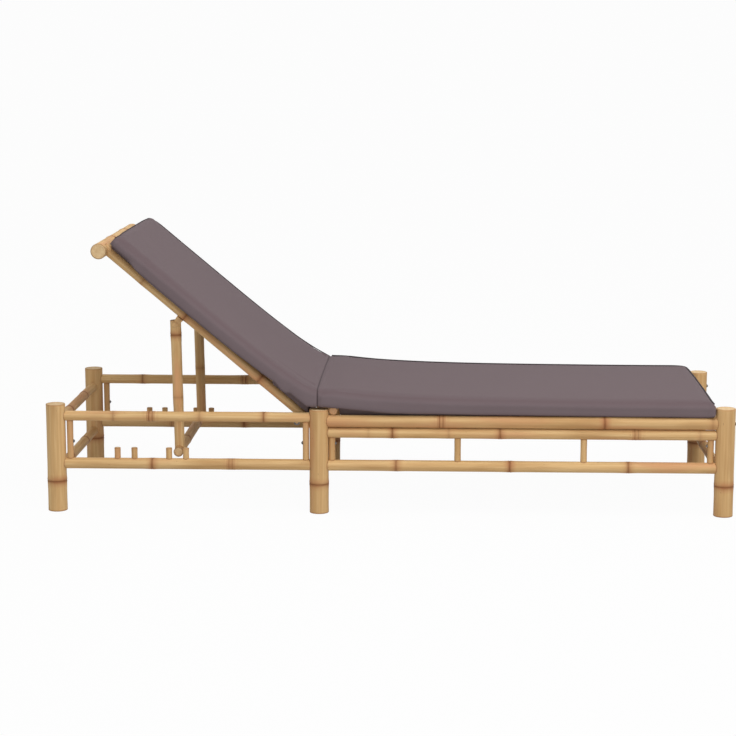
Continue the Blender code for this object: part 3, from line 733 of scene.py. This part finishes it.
def steel_material():
    """Zinc-plated steel with faint brushing and dull patches."""
    tree = Tree("zinc_steel")
    place = tree.add("TexCoord").outputs["Object"]
    brushed = tree.noise(place, (900.0, 60.0, 900.0), 3.0, 0.6)
    dull = tree.noise(place, (60.0, 60.0, 60.0))
    colour = tree.layers(ZINC, (dull, 0.4, 0.7, 1.0, ZINC_DULL))
    rough = tree.spread(brushed, 0.3, 0.7, 0.38, 0.55)
    return tree.surface(colour, brushed, 0.1, 0.0002, Roughness=rough, Metallic=1.0)


def painted_material():
    """Straw-coloured paint on steel, with the fine dimples of a sprayed coat."""
    tree = Tree("painted_steel")
    place = tree.add("TexCoord").outputs["Object"]
    peel = tree.noise(place, (500.0, 500.0, 500.0))
    shade = tree.noise(place, (70.0, 70.0, 70.0))
    colour = tree.layers(STRAW, (shade, 0.35, 0.7, 1.0, STRAW_DARK))
    return tree.surface(colour, peel, 0.15, 0.0002, Roughness=0.5)


def keep_steel(name, bm, body, material, node=None):
    """A steel piece that rides on a body, in place of a node if one is named."""
    piece = smooth_piece(name, bm, STEEL_SHARP, material)
    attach(piece, body)
    if node:
        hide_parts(node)


STEEL = steel_material()
PAINTED = painted_material()
STEEL_NODES = {"hinge_axle": PAINTED, "prop_axle": PAINTED}
STEEL_NODES.update({f"hinge_plate_{side}": STEEL for side in SIDES})
for node, material in STEEL_NODES.items():
    piece = frame["nodes"][node]
    piece.data.materials.clear()
    piece.data.materials.append(material)
print("steel parts:", len(STEEL_NODES))

# %% [markdown]
# ## Brackets
# Under each backrest rail a small saddle of bent sheet holds the axle of the hinge and of the
# prop. Its two cheeks narrow to a round end about the axle, and its edges are rounded by the
# press. In the photograph it can't be told from the cane, so it is painted straw-coloured.

# %% Bend the brackets
SHEET = 0.002
SHEET_ROUND = 0.0005
TOP_HALF = 0.010
CHEEK_STEPS = 14
BRACKETS = (
    # name, axle, radius of the cheek's round end
    ("hinge_bracket", HINGE, 0.0070),
    ("prop_bracket", PROP_PIVOT, 0.0075),
)
BACK_FRAME = Matrix((
    (BACK_ALONG.x, 0, BACK_UP.x, HINGE.x),
    (0, 1, 0, 0),
    (BACK_ALONG.z, 0, BACK_UP.z, HINGE.z),
    (0, 0, 0, 1),
))


def add_slab(bm, outline, low, high):
    """Adds a flat sheet with an outline in the backrest's own plane, between two Y values."""
    points = [bm.verts.new((along, low, up)) for along, up in outline]
    face = bm.faces.new(points)
    made = bmesh.ops.extrude_face_region(bm, geom=[face])
    moved = [part for part in made["geom"] if isinstance(part, bmesh.types.BMVert)]
    bmesh.ops.translate(bm, vec=(0, high - low, 0), verts=moved)


def round_edges(bm, width):
    """Rounds every edge by a width."""
    bmesh.ops.bevel(bm, geom=bm.edges[:], offset=width, segments=2, profile=0.5,
                    affect="EDGES", clamp_overlap=True, material=-1)


into_back = BACK_FRAME.inverted()
for name, axle, round_end in BRACKETS:
    middle = into_back @ Vector((axle.x, 0, axle.z))
    for side in SIDES:
        node = f"{name}_{side}"
        points = [into_back @ vert.co for vert in frame["nodes"][node].data.vertices]
        low, high = min(point.y for point in points), max(point.y for point in points)
        top = max(point.z for point in points)
        plate = [(middle.x + TOP_HALF, top), (middle.x - TOP_HALF, top),
                 (middle.x - TOP_HALF, top - SHEET), (middle.x + TOP_HALF, top - SHEET)]
        turns = [math.pi * (1 + step / CHEEK_STEPS) for step in range(CHEEK_STEPS + 1)]
        cheek = plate[:3] + [(middle.x + round_end * math.cos(turn),
                              middle.z + round_end * math.sin(turn)) for turn in turns]
        cheek.append(plate[3])
        bm = bmesh.new()
        add_slab(bm, cheek, low, low + SHEET)
        add_slab(bm, cheek, high - SHEET, high)
        add_slab(bm, plate, low + SHEET, high - SHEET)
        bmesh.ops.recalc_face_normals(bm, faces=bm.faces)
        round_edges(bm, SHEET_ROUND)
        bmesh.ops.transform(bm, matrix=BACK_FRAME, verts=bm.verts)
        keep_steel(f"{node}_bent", bm, "backrest", PAINTED, node)
print("brackets:", len(BRACKETS) * 2)

# %% [markdown]
# ## Bolts
# Bolts tie the posts to the legs and the seat rails to the foot legs. Their ends show as small
# dark points: a hexagonal nut with its corners turned off, and the domed tip of the bolt in it.

# %% Screw in the bolts
NUT_RADIUS = 0.0048
NUT_HEIGHT = 0.0030
NUT_CHAMFER = 0.0006
TIP_RADIUS = 0.0026
TIP_HEIGHT = 0.0050
NUT_SINK = 0.0008
TIP_SIDES = 16
POST_BOLT_Z = 0.195
BOLTED_POSTS = (("head", 1, 1), ("head", 2, -1), ("seat", 1, 1), ("seat", 4, -1))


def add_bolt(name, place, out):
    """A nut with a bolt's tip in it, standing on a surface in a direction."""
    bm = bmesh.new()
    bmesh.ops.create_cone(bm, cap_ends=True, segments=6, radius1=NUT_RADIUS, radius2=NUT_RADIUS,
                          depth=NUT_HEIGHT)
    bmesh.ops.translate(bm, vec=(0, 0, NUT_HEIGHT / 2 - NUT_SINK), verts=bm.verts)
    round_edges(bm, NUT_CHAMFER)
    outline = [(TIP_RADIUS, 0.0), (TIP_RADIUS, TIP_HEIGHT - TIP_RADIUS / 2),
               (TIP_RADIUS * 0.8, TIP_HEIGHT - TIP_RADIUS / 5), (0.0, TIP_HEIGHT)]
    spin_outline(bm, [(radius, height - NUT_SINK) for radius, height in outline], TIP_SIDES)
    stand(bm, place, out)
    keep_steel(name, bm, "base", STEEL)


for side in SIDES:
    for panel, number, out in BOLTED_POSTS:
        post = ends_of(f"{panel}_post_{number}_{side}", UP)[0]
        add_bolt(f"{panel}_bolt_{number}_{side}", (post.x + out * POST_RADIUS, post.y,
                                                   POST_BOLT_Z), ALONG * out)
    foot = legs["foot", side]
    add_bolt(f"foot_bolt_{side}", (foot.x + LEG_RADIUS, foot.y,
                                   rail_axis("seat_rail", side).z), ALONG)
print("bolts:", (len(BOLTED_POSTS) + 1) * 2)

# %% [markdown]
# ## The cushion
# The real cushion is one padded piece with a fold above the middle legs. Its two solids are
# copied, joined and remeshed into one closed skin, because a voxel remesh closes the joint
# between them and gives the even faces that cloth needs.

# %% Join the cushion's solids into one skin
VOXEL = 0.0055
JOIN_SHIFT = 0.0012
SEAT_LOW, SEAT_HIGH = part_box("seat_cushion")
PAD_HALF_WIDTH = SEAT_HIGH.y
FOLD_X = SEAT_LOW.x
FOOT_X = SEAT_HIGH.x


def merged_copy(node, shift):
    """A copy of a solid as a bmesh, with its points merged and moved along X."""
    bm = bmesh.new()
    bm.from_mesh(frame["nodes"][node].data)
    bmesh.ops.remove_doubles(bm, verts=bm.verts, dist=1e-5)
    bmesh.ops.translate(bm, vec=(shift, 0, 0), verts=bm.verts)
    return bm


def made_mesh(piece):
    """What a piece's modifiers or its curve settings make, as a new mesh."""
    graph = bpy.context.evaluated_depsgraph_get()
    return bpy.data.meshes.new_from_object(piece.evaluated_get(graph))


bm = merged_copy("seat_cushion", 0.0)
back_copy = merged_copy("back_cushion", JOIN_SHIFT)
spare = bpy.data.meshes.new("spare")
back_copy.to_mesh(spare)
back_copy.free()
bm.from_mesh(spare)
bpy.data.meshes.remove(spare)
cushion = meshed("cushion", bm)
remesh = cushion.modifiers.new("remesh", "REMESH")
remesh.mode = "VOXEL"
remesh.voxel_size = VOXEL
skin = made_mesh(cushion)
cushion.modifiers.clear()
cushion.data = skin
print("cushion skin:", len(cushion.data.polygons), "faces")

# %% [markdown]
# ## Drooping edges
# Soft edges droop over the frame and lie close to the rails beside the fold, and the underside
# sags where nothing carries it. Every point is moved by how far out and how low it lies, with
# smooth steps between the bands, so no edge shows where a band begins.

# %% Let the edges droop
DROOP = 0.0055
DROOP_BAND = (0.296, PAD_HALF_WIDTH)
FOLD_DROOP_BAND = (0.298, 0.309)
LOW_EDGE = (
    # X, and the height to which the lower side edge hangs beside the fold
    (-0.2693, 0.3270), (-0.2420, 0.3055), (-0.2240, 0.2895), (-0.1955, 0.2885),
    (-0.1790, 0.2905), (-0.0885, 0.2828), (0.0073, 0.2744), (0.1413, 0.2730),
    (0.2200, 0.2720),
)
LOW_EDGE_FADE = (-0.310, -0.280)
EDGE_FALL = 0.0050
EDGE_FALL_BAND = (0.262, PAD_HALF_WIDTH)
BELLY_BAND = (0.262, 0.284)
SEAT_BELLY = (-0.140, -0.134)
SEAT_BELLY_HEIGHT = 0.2722
BACK_BELLY = (-0.320, -0.2195)
INNER_BELLY_END = -0.205
LEG_INNER = 0.268
BACK_BELLY_BAND = (0.236, 0.246)
RAIL_SPACE = 0.0015
HEAD_BELLY = 0.0045
HEAD_BELLY_START = (0.580, 0.610)
HEAD_BELLY_END = (0.274, 0.284)
HEAD_EDGE_DROP = 0.0040
HEAD_EDGE_BAND = (0.264, 0.276)
HEAD_EDGE_START = (0.600, 0.632)
HEAD_EDGE_LOW = 0.67
LEAST_DROOP = 0.3
FOLD_WIDTH = 0.02
CORNER = 0.022
CORNER_PULL = 0.30
PAD_HEIGHT = 0.0412
FOLD_FILL = 0.0030
FOLD_FILL_BAND = (0.002, 0.014)
SMOOTH_ROUNDS = 2
SECTION_START = -0.42
SECTION_STEP = 0.008
SECTION_HALF = 0.003
INNER_HALF = 0.20


def smooth_step(value, low, high):
    """Rises smoothly from 0 at low to 1 at high."""
    share = min(max((value - low) / (high - low), 0.0), 1.0)
    return share * share * (3 - 2 * share)


def leaning(x):
    """0 on the seat's side of the fold and 1 on the backrest's, with a short change between."""
    return smooth_step(FOLD_X - x, 0.0, FOLD_WIDTH)


def sections(points):
    """The cushion's lowest and highest points, section by section along it."""
    inner = points[np.abs(points[:, 1]) < INNER_HALF]
    places = np.arange(SECTION_START, FOOT_X - SECTION_STEP, SECTION_STEP)
    heights = [inner[np.abs(inner[:, 0] - place) < SECTION_HALF, 2] for place in places]
    return places, [float(z.min()) for z in heights], [float(z.max()) for z in heights]


def pad_height(point, under, over):
    """How high a point of the cushion lies, from 0 at its underside to 1 at its top."""
    if point.x > SECTION_START:
        share = (point.z - under) / (over - under)
    else:
        share = ((point - HINGE).dot(BACK_UP) - BACK_UNDERSIDE) / PAD_HEIGHT
    return min(max(share, 0.0), 1.0)


BACK_UNDERSIDE = float(min((vert.co - HINGE).dot(BACK_UP)
                           for vert in frame["nodes"]["back_cushion"].data.vertices))
RAIL_TOP = (ends_of("back_rail_near", BACK_ALONG)[0] - HINGE).dot(BACK_UP) + BACK_RAIL_RADIUS
edge_places, edge_heights = zip(*LOW_EDGE)
bm = bmesh.new()
bm.from_mesh(cushion.data)
for _ in range(SMOOTH_ROUNDS):
    bmesh.ops.smooth_vert(bm, verts=bm.verts, factor=0.5, use_axis_x=True, use_axis_y=True,
                          use_axis_z=True)
places, unders, overs = sections(np.array([vert.co for vert in bm.verts]))
for vert in bm.verts:
    x, beyond = vert.co.x, abs(vert.co.y)
    under, over = float(np.interp(x, places, unders)), float(np.interp(x, places, overs))
    down = UP.lerp(BACK_UP, leaning(x))
    low = 1 - pad_height(vert.co, under, over)
    inside = beyond < DROOP_BAND[0]
    share = LEAST_DROOP + (1 - LEAST_DROOP) * low
    vert.co -= down * DROOP * smooth_step(beyond, *DROOP_BAND) * share
    vert.co -= down * EDGE_FALL * smooth_step(beyond, *EDGE_FALL_BAND) ** 2 * (1 - low)
    # the lower side edge beside the fold
    goal = float(np.interp(x, edge_places, edge_heights))
    hang = max(under - DROOP - goal, 0.0) * smooth_step(x, *LOW_EDGE_FADE)
    vert.co.z -= hang * smooth_step(beyond, *FOLD_DROOP_BAND) * low
    # the underside between the seat's rails, and then between the backrest's
    if inside and x > SEAT_BELLY[0]:
        sag = max(under - SEAT_BELLY_HEIGHT, 0.0) * smooth_step(x, *SEAT_BELLY)
        vert.co.z -= sag * smooth_step(beyond, *BELLY_BAND) * low
    belly_end = BACK_BELLY[1] if beyond > LEG_INNER else INNER_BELLY_END
    if inside and BACK_BELLY[0] < x < belly_end:
        rail = HINGE.z + (RAIL_TOP + RAIL_SPACE - (x - HINGE.x) * BACK_UP.x) / BACK_UP.z
        vert.co.z -= max(under - rail, 0.0) * smooth_step(beyond, *BACK_BELLY_BAND) * low
    # the top beside the fold, and then the head end's underside
    fill = 1 - smooth_step(abs(x - FOLD_X), *FOLD_FILL_BAND)
    vert.co.z += FOLD_FILL * fill * (1 - low)
    from_hinge = (HINGE - vert.co).dot(BACK_ALONG)
    if from_hinge > HEAD_BELLY_START[0]:
        band = smooth_step(beyond, *BACK_BELLY_BAND) - smooth_step(beyond, *HEAD_BELLY_END)
        vert.co -= BACK_UP * HEAD_BELLY * band * low * smooth_step(from_hinge, *HEAD_BELLY_START)
        drop = smooth_step(beyond, *HEAD_EDGE_BAND) * smooth_step(from_hinge, *HEAD_EDGE_START)
        vert.co -= BACK_UP * HEAD_EDGE_DROP * drop * min(low / HEAD_EDGE_LOW, 1.0)
    # the corners of the foot end
    past_foot = x - (FOOT_X - CORNER)
    past_side = beyond - (PAD_HALF_WIDTH - CORNER)
    if past_foot > 0 and past_side > 0:
        pull = CORNER_PULL * min(past_foot, past_side)
        vert.co.x += pull
        vert.co.y += math.copysign(pull, vert.co.y)
bm.to_mesh(cushion.data)
bm.free()
print("edges droop", DROOP, "m")

# %% [markdown]
# ## Filling the cover
# A sewn cover is never as flat as a slab: the foam inside pushes its panels out between the
# seams. A cloth simulation with a little inner pressure does that, while the underside stays
# where it rests on the slats. How far a point may move is capped, so that the cushion keeps the
# height it has in the photograph.

# %% Fill the cover with foam
FOAM = {"quality": 5, "mass": 0.3, "tension_stiffness": 15, "compression_stiffness": 15,
        "bending_stiffness": 0.5, "use_pressure": True, "uniform_pressure_force": 4.0,
        "vertex_group_mass": "resting"}
SIM_FRAMES = 14
MOST_MOVE = 0.0030
SHRINK = 0.0020
REST_BAND = 0.270
REST_NORMAL = -0.3


def fill_cover(piece):
    """Runs the cloth simulation on the cushion and keeps its result, capped."""
    mesh = piece.data
    count = len(mesh.vertices)
    before = np.empty(count * 3)
    mesh.vertices.foreach_get("co", before)
    before = before.reshape(-1, 3)
    normals = np.array([vert.normal for vert in mesh.vertices])
    resting = piece.vertex_groups.new(name="resting")
    on_frame = (normals[:, 2] < REST_NORMAL) & (np.abs(before[:, 1]) < REST_BAND)
    resting.add([int(number) for number in np.flatnonzero(on_frame)], 1.0, "REPLACE")
    shrunk = before - normals * (SHRINK * (~on_frame)[:, None])
    mesh.vertices.foreach_set("co", shrunk.ravel())
    cloth = piece.modifiers.new("cloth", "CLOTH")
    cloth.settings.effector_weights.gravity = 0.0
    for name, value in FOAM.items():
        setattr(cloth.settings, name, value)
    for step in range(1, SIM_FRAMES + 1):
        bpy.context.scene.frame_set(step)
    graph = bpy.context.evaluated_depsgraph_get()
    after = np.empty(count * 3)
    piece.evaluated_get(graph).data.vertices.foreach_get("co", after)
    piece.modifiers.clear()
    piece.vertex_groups.clear()
    move = after.reshape(-1, 3) - before
    far = np.linalg.norm(move, axis=1, keepdims=True)
    move *= np.minimum(1.0, MOST_MOVE / np.maximum(far, 1e-9))
    mesh.vertices.foreach_set("co", (before + move).ravel())
    mesh.update()
    bpy.context.scene.frame_set(1)
    print("most move:", round(float(far.max()) * 1000, 1), "mm")


fill_cover(cushion)

# %% [markdown]
# ## The fold
# Where the cushion folds, its two parts are sewn together, so a narrow crease runs down from the
# top. The remesh is too coarse for it: the skin is cut along a few close planes there, and the
# middle cuts are drawn in. The cloth's finish reads three values from the points: how deep in the
# crease they lie, which also darkens them there as painted shade, how far along and across the
# cushion, and how far they face sideways.

# %% Sew the fold and mark the cloth
CREASE_DEPTH = 0.0026
CREASE_STEPS = ((0.0, 1.0), (0.0012, 0.62), (0.003, 0.26), (0.006, 0.0))
UNDER_NORMAL = -0.4
UNDER_SHARE = 0.3
bm = bmesh.new()
bm.from_mesh(cushion.data)
steps, depths = zip(*CREASE_STEPS)
for step in steps:
    for x in {FOLD_X - step, FOLD_X + step}:
        bmesh.ops.bisect_plane(bm, geom=bm.verts[:] + bm.edges[:] + bm.faces[:],
                               plane_co=(x, 0, 0), plane_no=(1, 0, 0), dist=1e-6)
bmesh.ops.dissolve_degenerate(bm, dist=1e-5, edges=bm.edges)
bm.normal_update()
crease_layer = bm.verts.layers.float.new("crease")
place_layer = bm.verts.layers.float_vector.new("cloth_place")
side_layer = bm.verts.layers.float.new("cloth_side")
moves = []
for vert in bm.verts:
    near = float(np.interp(abs(vert.co.x - FOLD_X), steps, depths))
    open_side = 1.0 if vert.normal.z > UNDER_NORMAL else UNDER_SHARE
    # how deep in the crease: it draws the point in and darkens it as painted shade
    vert[crease_layer] = near
    moves.append(vert.normal * CREASE_DEPTH * near * open_side)
    lean = leaning(vert.co.x)
    offset = vert.co - HINGE
    along = vert.co.x * (1 - lean) + (offset.dot(BACK_ALONG) + HINGE.x) * lean
    up = offset.z * (1 - lean) + offset.dot(BACK_UP) * lean
    vert[place_layer] = (along, vert.co.y, up)
    # how far a point faces sideways: it turns the weave and brings in the sides' painted light
    vert[side_layer] = abs(vert.normal.y)
for vert, move in zip(bm.verts, moves):
    vert.co -= move
bm.to_mesh(cushion.data)
bm.free()
cushion.data.shade_smooth()
print("cushion:", len(cushion.data.polygons), "faces")

# %% [markdown]
# ## The cloth
# The cover is a close plain weave in one dull grey-brown. Seen near, warp and weft make a small
# checker with a few thicker threads, and from afar only slight changes of shade are left. Its
# sides get a lighter colour as painted light, and the fold's crease a dark one as painted shade.

# %% Make the cloth finish
CLOTH = screen(104, 88, 91)
# painted light: the cloth's sides get a lighter colour than its top
SIDE_PAINTED_LIGHT = screen(116, 102, 105)
CLOTH_DARK = screen(98, 84, 87)
# painted shade in the fold's crease, and the darker ribs of the painted shade line
DEEP_PAINTED_SHADE = screen(58, 46, 49)
# the colour of the thin dark tube that stands for painted shade along the far edges
SHADE_LINE_COLOUR = screen(50, 40, 43)
WEAVE_PITCH = 0.0016


def cloth_material():
    """A close plain weave, dull, with slight changes of tone, painted light on its sides and
    painted shade in the crease.
    """
    tree = Tree("cushion_cloth")
    place = tree.stored("cloth_place", "Vector")
    side = tree.stored("cloth_side")
    parts = tree.add("SeparateXYZ", {0: place})
    turns = math.tau / WEAVE_PITCH
    across = tree.add("Mix", {"Factor": tree.spread(side, 0.6, 0.8), 2: parts.outputs["Y"],
                              3: parts.outputs["Z"]}, data_type="FLOAT")
    warp = tree.maths("SINE", tree.maths("MULTIPLY", parts.outputs["X"], turns))
    weft = tree.maths("SINE", tree.maths("MULTIPLY", across.outputs[0], turns))
    weave = tree.maths("MULTIPLY", warp, weft)
    cloud = tree.noise(place, (5.0, 5.0, 5.0), 3.0, 0.5)
    slub = tree.noise(place, (60.0, 900.0, 900.0))
    colour = tree.layers(
        CLOTH,
        # painted light on the sides, growing as a point faces sideways
        (side, 0.55, 0.97, 1.0, SIDE_PAINTED_LIGHT),
        (cloud, 0.3, 0.7, 0.25, CLOTH_DARK),
        (weave, -1.0, 1.0, 0.18, CLOTH_DARK),
        (slub, 0.55, 0.75, 0.2, CLOTH_DARK),
        # painted shade in the crease
        (tree.stored("crease"), 0.35, 0.95, 0.92, DEEP_PAINTED_SHADE))
    return tree.surface(colour, weave, 0.12, 0.0003, Roughness=0.92, Specular_IOR_Level=0.2,
                        Sheen_Weight=0.08, Sheen_Roughness=0.5)


cushion.data.materials.clear()
cushion.data.materials.append(cloth_material())


def keep_cloth(piece):
    """Bakes a cloth piece's place into its points."""
    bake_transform(piece)


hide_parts("seat_cushion", "back_cushion")
keep_cloth(cushion)

# %% [markdown]
# ## Painted shade along the far edges
# A fine dark line runs along the cushion's far upper edge and round both ends, where the rounded
# edges turn away from the light. It is painted shade: a thin dark tube laid on the cushion's own
# upper edge. The points are read from the finished skin, so the line follows every droop of it.
# How far the line leans out over the edge decides whether it lies on the top or on the end of the
# cushion.

# %% Lay the closing seams
SHADE_LINE_RADIUS = 0.0025
BACK_SHADE_LINE_RADIUS = 0.0014
SHADE_LINE_STEP = 0.012
SHADE_LINE_ROUNDS = 6
SEAT_SHADE_GAPS = (0.001, 0.010)
FOOT_SHADE_GAP = 0.012
BACK_SHADE_GAPS = (0.010, 0.010)
HEAD_SHADE_GAPS = (0.014, 0.004)
SHADE_LINE_RISE = 0.0010
SIDE_LEAN = 0.22
FOOT_LEAN = 0.80
HEAD_LEAN = 1.6
skin_points = np.array([vert.co for vert in cushion.data.vertices])
seat_points = skin_points[skin_points[:, 0] > FOLD_X]
back_points = skin_points[skin_points[:, 0] < FOLD_X]


def edge_point(points, place, along, out, up):
    """The furthest of some points towards out and up, in a thin slice across a direction."""
    offset = (points - np.array(place)) @ np.array(along)
    slice_points = points[np.abs(offset) < VOXEL]
    reach = slice_points @ (np.array(out) + np.array(up))
    rise = (out + up).normalized() * SHADE_LINE_RISE
    return Vector(slice_points[int(reach.argmax())]) + rise


def even_line(line):
    """Smooths a line of points without moving its ends."""
    for _ in range(SHADE_LINE_ROUNDS):
        line = [line[0]] + [(a + b * 2 + c) / 4 for a, b, c in
                            zip(line, line[1:], line[2:])] + [line[-1]]
    return line


def lay_shade_line(name, points, radius):
    """Lays a thin dark tube of painted shade along a line of points, as a mesh."""
    curve = bpy.data.curves.new(name, "CURVE")
    curve.dimensions = "3D"
    curve.bevel_depth = radius
    curve.bevel_resolution = 3
    curve.use_fill_caps = True
    spline = curve.splines.new("POLY")
    spline.points.add(len(points) - 1)
    for spot, point in zip(spline.points, points):
        spot.co = (*point, 1.0)
    rope = placed(name, curve)
    mesh = made_mesh(rope)
    bpy.data.objects.remove(rope)
    piece = placed(name, mesh)
    mesh.materials.clear()
    mesh.materials.append(SHADE_LINE_FINISH)
    mesh.shade_smooth()
    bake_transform(piece)


def shade_line_material():
    """A dark tube with small ribs along it, which stands for painted shade."""
    tree = Tree("painted_shade_line")
    place = tree.add("TexCoord").outputs["Object"]
    ribs = tree.noise(place, (700.0, 700.0, 700.0))
    colour = tree.layers(SHADE_LINE_COLOUR, (ribs, 0.4, 0.7, 1.0, DEEP_PAINTED_SHADE))
    return tree.surface(colour, ribs, 0.3, 0.0003, Roughness=0.9)


SHADE_LINE_FINISH = shade_line_material()
# painted shade along the seat's far upper edge and round the foot end
seat_line = [edge_point(seat_points, (x, 0, 0), ALONG, ACROSS * SIDE_LEAN, UP)
             for x in np.arange(FOLD_X + SEAT_SHADE_GAPS[0], FOOT_X - SEAT_SHADE_GAPS[1],
                                SHADE_LINE_STEP)]
foot_line = [edge_point(seat_points, (0, y, 0), ACROSS, ALONG * FOOT_LEAN, UP)
             for y in np.arange(PAD_HALF_WIDTH - FOOT_SHADE_GAP, FOOT_SHADE_GAP - PAD_HALF_WIDTH,
                                -SHADE_LINE_STEP)]
lay_shade_line("painted_shade_edge", even_line(seat_line + foot_line), SHADE_LINE_RADIUS)
# painted shade along the backrest's far upper edge and round the head end
head_reach = float(((np.array(HINGE) - back_points) @ np.array(BACK_ALONG)).max())
back_line = [edge_point(back_points, HINGE - BACK_ALONG * reach, BACK_ALONG,
                        ACROSS * SIDE_LEAN, BACK_UP)
             for reach in np.arange(BACK_SHADE_GAPS[0], head_reach - BACK_SHADE_GAPS[1], SHADE_LINE_STEP)]
head_line = [edge_point(back_points, (0, y, 0), ACROSS, -BACK_ALONG * HEAD_LEAN, BACK_UP)
             for y in np.arange(PAD_HALF_WIDTH - HEAD_SHADE_GAPS[0],
                                HEAD_SHADE_GAPS[1] - PAD_HALF_WIDTH, -SHADE_LINE_STEP)]
lay_shade_line("back_painted_shade_edge", even_line(back_line + head_line), BACK_SHADE_LINE_RADIUS)
print("seam points:", len(seat_line) + len(foot_line) + len(back_line) + len(head_line))
